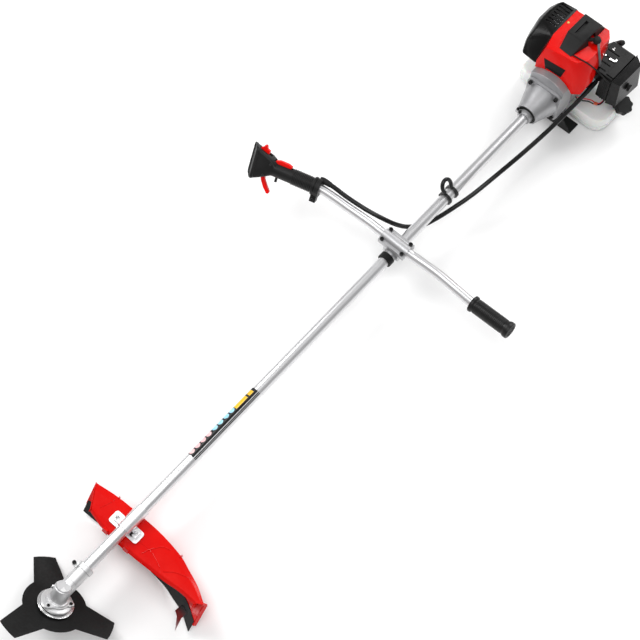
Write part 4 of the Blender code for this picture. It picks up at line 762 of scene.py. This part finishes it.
def guard_rows(steps=6):
    """Lines along the guard, from the wall's lower edge over the shoulder and deck to the lip."""
    rear = smooth_line([(x, y, DECK_Z - 0.006) for x, y in GUARD_REAR], steps)
    front = smooth_line([(x, y, DECK_Z - 0.0013) for x, y in GUARD_FRONT], steps)
    rows = [[p + DOWN_BLADE * drop for p in rear] for drop in (0.064, 0.048, 0.032, 0.016, 0.006, 0.0015)]
    for share, rise in ((0.015, 0.0009), (0.10, 0.0018), (0.20, 0.0029), (0.27, 0.0036), (0.33, 0.0036),
                        (0.50, 0.0026), (0.70, 0.0014), (0.88, 0.0004), (0.97, 0.0)):
        rows.append([a.lerp(b, share) + Vector((0, 0, rise)) for a, b in zip(rear, front)])
    rows += [[p + DOWN_BLADE * drop for p in front] for drop in (0.0012, 0.0050, 0.0100)]
    return rows


GUARD = guard_rows()


def plate_of(rows, wall):
    """A closed plate: the rows as one side and the same rows moved in by the wall as the other."""
    count = len(rows[0])
    inner = []
    for r, row in enumerate(rows):
        above, below = rows[max(r - 1, 0)], rows[min(r + 1, len(rows) - 1)]
        new = []
        for k, point in enumerate(row):
            along = row[min(k + 1, count - 1)] - row[max(k - 1, 0)]
            across = below[k] - above[k]
            new.append(point + along.cross(across).normalized() * wall)
        inner.append(new)
    columns = []
    for k in range(count):
        columns.append([row[k] for row in rows] + [row[k] for row in reversed(inner)])
    return skin(columns)


guard_hole = lathe([(0.0033, -0.012), (0.0033, 0.012)], 20)
piece("guard_shell", plate_of(GUARD, 0.0024), RED, replaces=["guard"],
      cuts=[moved(guard_hole, Matrix.Translation((x, 0.192, DECK_Z))) for x in (-0.029, 0.023)],
      edges=0.0004, segments=1, angle=50)


# %% Ribs on the deck
def surface_height(x, y):
    """Height of the guard's outside at a place, from its nearest loft points."""
    best = sorted(((p.x - x) ** 2 + (p.y - y) ** 2, p.z) for row in GUARD[4:] for p in row)[:4]
    weights = [1 / (d + 1e-7) for d, _ in best]
    return sum(w * z for w, (_, z) in zip(weights, best)) / sum(weights)


def rib(stops, radius):
    line = smooth_line([(x, y, 0) for x, y in stops], 8)
    line = [Vector((p.x, p.y, surface_height(p.x, p.y) - radius * 0.25)) for p in line]
    return rod(line, radius, 10)


ribs = [rib([(0.058, 0.172), (0.066, 0.190), (0.081, 0.2095), (0.100, 0.2170), (0.121, 0.2215)], 0.0016),
        rib([(0.118, 0.1745), (0.136, 0.1880), (0.155, 0.1960), (0.174, 0.2000), (0.191, 0.1975)], 0.0016),
        rib([(0.036, 0.1860), (0.066, 0.1880), (0.092, 0.1810), (0.108, 0.1750)], 0.0009),
        rib([(-0.061, 0.2265), (-0.066, 0.2050), (-0.074, 0.1850)], 0.0009)]
piece("guard_ribs", merged(*ribs), RED)


# %% End flanges and small tabs
def end_flange(column, out, width):
    """A flat band that stands out round an open end of the guard."""
    line = [row[column] for row in GUARD]
    centre = sum(line, Vector()) / len(line)
    rings = []
    for k, point in enumerate(line):
        along = (line[min(k + 1, len(line) - 1)] - line[max(k - 1, 0)]).normalized()
        outward = along.cross(Vector(out))
        outward = outward.normalized()
        if outward.dot(point - centre) < 0:
            outward = -outward
        tip = point + outward * width + Vector(out) * width * 0.15
        step = Vector(out) * 0.0022
        rings.append([point - outward * 0.0015, tip, tip + step, point - outward * 0.0015 + step])
    return skin(rings)


piece("guard_end_left", end_flange(0, (-0.94, -0.34, 0.0), 0.0020), RED, edges=0.0006)
piece("guard_end_right", end_flange(-1, (0.88, -0.47, 0.0), 0.0062), RED, edges=0.0006)
tabs = [moved(box((-0.0070, -0.0035, -0.0130), (0.0070, 0.0015, 0.0010)),
              Matrix.Translation((x, 0.1603, DECK_Z - 0.0022)) @ Matrix.Rotation(radians(-20), 4, "X"))
        for x in (-0.0330, 0.0270)]
nibs = [moved(box((-0.0009, -0.0050, -0.0100), (0.0009, 0.0030, 0.0014)),
              Matrix.Translation((x, y, DECK_Z - 0.004))) for x, y in ((-0.0610, 0.2265), (0.1225, 0.2225))]
piece("guard_tabs", merged(*tabs, *nibs), RED, edges=0.0008)

# %% The clamp screw beside the tube
piece("bracket_knob", moved(socket_screw(0.0046, 0.0050, 0.0024, 0.0060),
                            Matrix.Translation((0.0150, 0.1860, -0.0098))
                            @ Matrix.Rotation(radians(70), 4, "Y")),
      SCREW_BLACK, edges=0.0003)

# %% [markdown]
# ## The label on the shaft
# Thin foil wraps part of the tube: a dark band with plain colour blocks and two pinstripes. Each patch
# is a real thin plate on the tube's curve, so it keeps its sharp edge from every side. No words on it.


# %% Label patches
def foil_patch(start, stop, left, right, radius, steps=10):
    """A thin curved plate on the tube. left and right give its edges as angles from the top."""
    rings = []
    for r in range(steps + 1):
        y = start + (stop - start) * r / steps
        a, b = radians(left(r / steps)), radians(right(r / steps))
        outer = [(a + (b - a) * i / 12) for i in range(13)]
        loop = [Vector((radius * sin(t), y, radius * cos(t))) for t in outer]
        loop += [Vector(((radius - 0.00008) * sin(t), y, (radius - 0.00008) * cos(t)))
                 for t in reversed(outer)]
        rings.append(loop)
    return skin(rings)


def block_patch(start, stop, left, right, radius=0.01320):
    return foil_patch(start, stop, lambda s: left, lambda s: right, radius)


def leaf_patch(centre, half, left, right, radius=0.01320):
    """A pointed leaf, widest near one end."""
    middle, reach = (left + right) / 2, (right - left) / 2
    wide = lambda s: reach * (0.15 + 0.85 * sin(pi * min(1.0, s * 0.75 + 0.12)))
    return foil_patch(centre - half, centre + half, lambda s: middle - wide(s), lambda s: middle + wide(s),
                      radius, 12)


FOIL_BLACK = finish("foil_black", (0.006, 0.006, 0.006), (0.010, 0.010, 0.010), (0.25, 0.35), bump=0.01,
                    specular_ior_level=0.25)
FOIL_YELLOW = finish("foil_yellow", (0.86, 0.52, 0.01), (0.80, 0.46, 0.01), (0.3, 0.4), bump=0.01)
FOIL_BLUE = finish("foil_blue", (0.30, 0.66, 0.86), (0.42, 0.74, 0.90), (0.3, 0.4), bump=0.01, smudge=90)
FOIL_PINK = finish("foil_pink", (0.84, 0.50, 0.52), (0.90, 0.64, 0.64), (0.3, 0.4), bump=0.01, smudge=90)
piece("label_band", merged(block_patch(0.386, 0.586, -80, 18, 0.01312),
                           block_patch(0.386, 0.586, 26, 35, 0.01312),
                           block_patch(0.386, 0.586, 43, 51, 0.01312)), FOIL_BLACK)
piece("label_yellow", merged(block_patch(0.526, 0.561, -72, -10), block_patch(0.566, 0.579, -60, -8)),
      FOIL_YELLOW)
piece("label_blue", merged(*[leaf_patch(y, 0.0068, -70, -14) for y in (0.517, 0.500, 0.482, 0.465)]),
      FOIL_BLUE)
piece("label_pink", merged(*[leaf_patch(y, 0.0068, -70, -14) for y in (0.446, 0.429, 0.412, 0.395)]),
      FOIL_PINK)

# %% [markdown]
# ## Engine covers
# Three mouldings hide the engine: the red hood, a black hump over the spark plug and a black shield
# round the hot muffler. The shield is full of slots and small holes, because heat has to get out.

# %% Muffler shield
SHIELD = [(-0.0550, 1.7660, 0.108), (-0.1000, 1.7610, 0.108), (-0.1050, 1.7200, 0.108),
          (-0.1045, 1.6900, 0.107), (-0.0550, 1.6690, 0.108), (-0.0550, 1.6090, 0.062),
          (-0.0970, 1.6130, 0.060), (-0.1110, 1.6440, 0.060), (-0.1190, 1.6700, 0.060),
          (-0.1260, 1.7080, 0.060), (-0.1230, 1.7450, 0.060), (-0.1120, 1.6480, 0.022),
          (-0.1260, 1.7080, 0.020), (-0.1180, 1.7600, 0.020), (-0.0550, 1.7660, 0.020),
          (-0.0550, 1.6400, 0.022), (-0.1010, 1.6600, 0.0975), (-0.1170, 1.7000, 0.0920),
          (-0.1160, 1.7400, 0.0920), (-0.1050, 1.6380, 0.0800)]
SHIELD_MIDDLE = Vector((-0.085, 1.695, 0.064))
shield_room = []
for corner in SHIELD:
    x, y, z = Vector(corner) - SHIELD_MIDDLE
    shield_room.append((SHIELD_MIDDLE.x + x * 0.93 + (0.02 if x > 0.02 else 0),
                        SHIELD_MIDDLE.y + y * 0.955, SHIELD_MIDDLE.z + z * 0.94))
top_slots = [box((-0.0965, 1.6905 + k * 0.0100, 0.094), (-0.0640, 1.6945 + k * 0.0100, 0.120))
             for k in range(7)]


def hole_grid(centre, normal, rows, columns, pitch, radius):
    """Small round holes in a grid, drilled along a wall's normal."""
    place = aim(Vector(centre), normal)
    drill = lathe([(radius, -0.009), (radius, 0.009)], 10)
    return [moved(drill, place @ Matrix.Translation(((i - (columns - 1) / 2) * pitch,
                                                      (j - (rows - 1) / 2) * pitch, 0)))
            for i in range(columns) for j in range(rows)]


side_holes = hole_grid((-0.1030, 1.6500, 0.0830), (-0.80, -0.42, 0.42), 3, 5, 0.0048, 0.0012)
side_holes += hole_grid((-0.1130, 1.7150, 0.0980), (-0.75, 0.0, 0.65), 6, 3, 0.0055, 0.0013)
rear_slots = [box((-0.1000, 1.7550, 0.066 + k * 0.008), (-0.0650, 1.7700, 0.070 + k * 0.008))
              for k in range(4)]
low_slots = [box((-0.1400, 1.6700 + k * 0.010, 0.026), (-0.1150, 1.6740 + k * 0.010, 0.050))
             for k in range(8)]
shield = raw_object("muffler_shield", hull(SHIELD))
round_edges(shield, 0.0045, 4, 8)
settle(shield)
carve(shield, hull(shield_room), merged(*top_slots), merged(*side_holes), merged(*rear_slots),
      merged(*low_slots), box((-0.0950, 1.740, 0.040), (-0.0750, 1.775, 0.058)))
shield.data.materials.clear()
shield.data.materials.append(BLACK_GLOSS)
shield.data.shade_smooth()
shield.data.set_sharp_from_angle(angle=radians(32))
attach(shield, "frame")
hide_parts("muffler_cover")

# %% Plug hump with its long slot
HUMP = [(-0.016, 1.634, 0.1315), (0.018, 1.632, 0.1315), (-0.023, 1.671, 0.150), (0.023, 1.671, 0.150),
        (-0.023, 1.737, 0.150), (0.023, 1.737, 0.150), (-0.029, 1.748, 0.1315), (0.029, 1.748, 0.1315),
        (-0.030, 1.684, 0.1315), (0.030, 1.684, 0.1315)]
hump_room = [(x * 0.86, 1.690 + (y - 1.690) * 0.92, z - 0.0090 + 0.0045 * (z < 0.14)) for x, y, z in HUMP]
piece("plug_hump", hull(HUMP), BLACK_DULL, replaces=["plug_cover"],
      cuts=[hull(hump_room), box((0.010, 1.684, 0.120), (0.040, 1.712, 0.1478)),
            box((-0.0095, 1.6790, 0.1440), (-0.0035, 1.7230, 0.1520)),
            box((-0.0260, 1.6695, 0.1493), (0.0260, 1.6707, 0.1520))], edges=0.0008, segments=2)
rails = [box((-0.0110, 1.6770, 0.1496), (-0.0098, 1.7250, 0.1508)), box((-0.0032, 1.6770, 0.1496),
                                                                         (-0.0020, 1.7250, 0.1508)),
         box((0.0190, 1.6740, 0.1494), (0.0204, 1.6800, 0.1506))]
piece("hump_rails", merged(*rails), BLACK_DULL, edges=0.0003)


# %% Name plate without a name, and the small marks on the hood
def onto(part, start, direction):
    """Where a line from a point meets a measured part."""
    found = frame["nodes"][part].ray_cast(Vector(start), Vector(direction).normalized())
    return found[1] if found[0] else Vector(start)


def draped(part, corners, direction, lift, thick, across=8, down=6):
    """A thin plate laid on a measured part, from four corners given in shaft axes."""
    direction = Vector(direction).normalized()
    a, b, c, d = [SHAFT @ Vector(p) for p in corners]
    rings = []
    for i in range(across + 1):
        top, low = a.lerp(d, i / across), b.lerp(c, i / across)
        column = [onto(part, top.lerp(low, j / down) - direction * 0.05, direction) for j in range(down + 1)]
        outer = [p - direction * (lift + thick) for p in column]
        rings.append(outer + [p - direction * lift for p in reversed(column)])
    return skin(rings)


plate = draped("cylinder_cover", [(-0.034, 1.6, 0.1035), (-0.020, 1.6, 0.0690), (0.0165, 1.6, 0.0660),
                                  (0.0235, 1.6, 0.1040)], (0, 1, 0), -0.0004, 0.0012)
NAME_BLACK = finish("name_plate", (0.003, 0.003, 0.003), (0.006, 0.006, 0.006), (0.18, 0.26), bump=0.01,
                    specular_ior_level=0.15)
piece("blank_plate", plate, NAME_BLACK, matrix=Matrix.Identity(4), edges=0.0003)
piece("hood_screw", moved(socket_screw(0.0038, 0.0016, 0.0020, 0.0030),
                          Matrix.Translation((-0.0440, 1.7040, 0.1310)) @ Matrix.Scale(0.75, 4)), BRASS,
      edges=0.0001)

# %% [markdown]
# ## Ignition lead, linkage and wires
# Small cables make an engine look real. Each runs from one solid part to another on a smooth line.

# %% Leads and rods
LEADS = [
    ("spark_lead", 0.0030, 16, GREY_CABLE,
     [(0.0400, 1.6985, 0.1430), (0.0455, 1.6970, 0.1420), (0.0500, 1.6930, 0.1385), (0.0570, 1.6870, 0.1330),
      (0.0640, 1.6830, 0.1220), (0.0690, 1.6830, 0.1050), (0.0700, 1.6850, 0.0900)]),
    ("choke_cable", 0.0017, 12, RUBBER,
     [(0.0200, 1.6380, 0.1335), (0.0390, 1.6400, 0.1332), (0.0580, 1.6465, 0.1265), (0.0720, 1.6590, 0.1060),
      (0.0850, 1.6650, 0.0920), (0.1050, 1.6655, 0.0850), (0.1120, 1.6690, 0.0800)]),
    ("wire_red", 0.0014, 10, RED_WIRE,
     [(0.0560, 1.6450, -0.0100), (0.0600, 1.6620, -0.0300), (0.0780, 1.6800, -0.0405),
      (0.0920, 1.6830, -0.0445), (0.1000, 1.6930, -0.0420), (0.1010, 1.7100, -0.0250),
      (0.0980, 1.7200, -0.0020)]),
    ("wire_black", 0.0014, 10, RUBBER,
     [(0.0530, 1.6440, -0.0120), (0.0560, 1.6600, -0.0400), (0.0740, 1.6760, -0.0462),
      (0.0900, 1.6795, -0.0462), (0.1010, 1.6890, -0.0430), (0.1035, 1.7080, -0.0250),
      (0.1000, 1.7180, -0.0020)]),
]
for name, radius, sides, skin_of, stops in LEADS:
    piece(name, rod(smooth_line(stops, 6), radius, sides), skin_of)
piece("wire_plug", moved(box((-0.0045, -0.0032, -0.0026), (0.0045, 0.0032, 0.0026)),
                         Matrix.Translation((0.0910, 1.6815, -0.0440))
                         @ Matrix.Rotation(radians(20), 4, "Z")), ORANGE, edges=0.0006)

# %% [markdown]
# ## Air filter, tank and starter details
# These covers are plain boxes until their ribs, clips, vents and screws are on them.

# %% Air filter box details
corner_ribs = [rod([Vector((x, 1.6690, 0.0060)), Vector((x, 1.6690, 0.0800))], 0.0019, 10)
               for x in (0.1010, 0.1065, 0.1120)]
top_ribs = [box((0.0560, 1.6830 + k * 0.018, 0.0860), (0.0890, 1.6845 + k * 0.018, 0.0885)) for k in range(4)]
step_plate = box((0.0950, 1.6780, 0.0855), (0.1150, 1.7600, 0.0890))
piece("filter_ribs", merged(*corner_ribs, *top_ribs, step_plate), BLACK_GLOSS, edges=0.0006)
clips = [box((0.0750, 1.7130, 0.0860), (0.0790, 1.7180, 0.0900)), box((0.0750, 1.7150, 0.0860),
                                                                      (0.0900, 1.7190, 0.0896)),
         box((0.0880, 1.7170, 0.0860), (0.0925, 1.7250, 0.0900)), box((0.0610, 1.7160, 0.0860),
                                                                      (0.0640, 1.7210, 0.0885)),
         box((0.0640, 1.7420, 0.0860), (0.0700, 1.7440, 0.0885)), box((0.0650, 1.7470, 0.0860),
                                                                      (0.0690, 1.7485, 0.0885))]
piece("filter_clips", merged(*clips), PLATED, edges=0.0005)
seam = [box((0.1172, 1.6680, 0.0010), (0.1186, 1.7680, 0.0878))]
piece("filter_seam", merged(*seam), RUBBER, edges=0.0004)

# %% Tank seam and starter vents
LEVEL = -0.0760
tank_outline = [(-0.112, 1.660), (-0.104, 1.645), (-0.090, 1.642), (0.110, 1.642), (0.126, 1.648),
                (0.138, 1.665), (0.140, 1.740), (0.130, 1.758), (0.110, 1.764), (-0.090, 1.764),
                (-0.106, 1.757), (-0.112, 1.740)]
middle = Vector((0.014, 1.703))


def grown(outline, more):
    made = []
    for x, y in outline:
        away = (Vector((x, y)) - middle)
        made.append((x + more * (1 if away.x > 0 else -1), y + more * (1 if away.y > 0 else -1)))
    return made


piece("tank_seam", extrude(grown(tank_outline, 0.0011), LEVEL, LEVEL + 0.0018), MILKY, edges=0.0007,
      cuts=[extrude(grown(tank_outline, -0.0040), LEVEL - 0.01, LEVEL + 0.01)])


def starter_vents():
    """Long narrow openings set like spokes in the starter's cover."""
    slots = []
    for k in range(16):
        angle = 2 * pi * k / 16
        if abs(((degrees(angle) - 45 + 180) % 360) - 180) < 12:
            continue
        turn = Matrix.Rotation(angle, 4, "Z")
        slot = box((0.0190, -0.0019, 1.7500), (0.0380, 0.0019, 1.7600))
        slots.append(moved(moved(slot, turn), ALONG_SHAFT))
    return slots


starter = frame["nodes"]["starter_housing"]
vented = bpy.data.objects.new("starter_shell", starter.data.copy())
bpy.context.scene.collection.objects.link(vented)
carve(vented, merged(*starter_vents()))
round_edges(vented, 0.0009, 2)
vented.data.materials.clear()
vented.data.materials.append(BLACK_GLOSS)
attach(vented, "frame")
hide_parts("starter_housing")
spots = [(0.0520 * cos(radians(turn)), 1.7462, 0.0520 * sin(radians(turn))) for turn in (100, 190, 280, 10)]
piece("starter_screws", at_each(socket_screw(0.0032, 0.0026, 0.0016, 0.0030),
                                [Matrix.Translation(p) @ ALONG_SHAFT for p in spots]), SCREW_BLACK,
      edges=0.0002)
hub = moved(lathe([(0.0150, 1.7560), (0.0150, 1.7572), (0.0138, 1.7580)], 40), ALONG_SHAFT)
piece("starter_hub", hub, BLACK_DULL, edges=0.0003)

# %% Fins on the crankcase, where cooling air blows past
fins = [box((-0.0462, 1.6370 + k * 0.0075, -0.0380), (0.0462, 1.6388 + k * 0.0075, 0.0330)) for k in range(8)]
piece("case_fins", merged(*fins), CASTING, edges=0.0005,
      cuts=[box((-0.0430, 1.62, -0.0500), (0.0430, 1.71, 0.0500))])

# %% [markdown]
# ## Floor, light and viewpoint
# A plain pale floor and a bright, even sky stand in for a photographer's table. Three large soft
# lamps give the tubes a bright middle and darker sides, which is what makes metal read as round.


# %% Floor
def build_floor():
    floor = raw_object("floor", ([(-12, -12, 0), (12, -12, 0), (12, 12, 0), (-12, 12, 0)], [[0, 1, 2, 3]]),
                       Matrix.Identity(4))
    made = bpy.data.materials.new("pale_floor")
    made.use_nodes = True
    tree = made.node_tree
    cloud = node(tree, "ShaderNodeTexNoise", [("Vector", node(tree, "ShaderNodeTexCoord").outputs["Object"])],
                 Scale=0.8, Detail=2.0)
    paint = node(tree, "ShaderNodeMix", [("Factor", cloud.outputs["Fac"])], data_type="RGBA")
    paint.inputs["A"].default_value = (0.93, 0.93, 0.93, 1)
    paint.inputs["B"].default_value = (0.90, 0.90, 0.90, 1)
    tree.links.new(paint.outputs["Result"], tree.nodes["Principled BSDF"].inputs["Base Color"])
    tree.nodes["Principled BSDF"].inputs["Roughness"].default_value = 0.9
    tree.nodes["Principled BSDF"].inputs["Specular IOR Level"].default_value = 0.1
    floor.data.materials.append(made)


build_floor()


# %% Sky and lamps
def build_light():
    world = bpy.data.worlds.new("studio")
    world.use_nodes = True
    world.node_tree.nodes["Background"].inputs["Color"].default_value = (1, 1, 1, 1)
    world.node_tree.nodes["Background"].inputs["Strength"].default_value = 0.42
    bpy.context.scene.world = world
    lamps = [("overhead", (0.9, -1.9, 4.4), 2.6, 84), ("key", (-1.9, -0.9, 2.3), 1.3, 46),
             ("back", (0.1, 2.3, 2.2), 1.8, 55)]
    for name, at, size, power in lamps:
        lamp = bpy.data.lights.new(name, "AREA")
        lamp.size = size
        lamp.energy = power
        holder = bpy.data.objects.new(name, lamp)
        holder.matrix_world = aim(Vector(at), Vector(at) - Vector((0, -0.7, 0.1)))
        bpy.context.scene.collection.objects.link(holder)


build_light()


# %% Viewpoint
def build_camera():
    lens = bpy.data.cameras.new("viewpoint")
    lens.sensor_width = 36
    lens.lens = 82.33
    lens.clip_end = 60
    holder = bpy.data.objects.new("viewpoint", lens)
    across = Vector((0.7493, 0.6618, 0.0078)).normalized()
    back = Vector((0.2705, -0.3164, 0.9090)).normalized()
    up = back.cross(across).normalized()
    across = up.cross(back).normalized()
    turn = Matrix((across, up, back)).transposed().to_4x4()
    holder.matrix_world = Matrix.Translation((0.8553, -1.8306, 3.0120)) @ turn
    bpy.context.scene.collection.objects.link(holder)
    bpy.context.scene.camera = holder


build_camera()
bpy.context.scene.view_settings.view_transform = "Standard"

# %% Bring the scene up to date
bpy.context.view_layer.update()
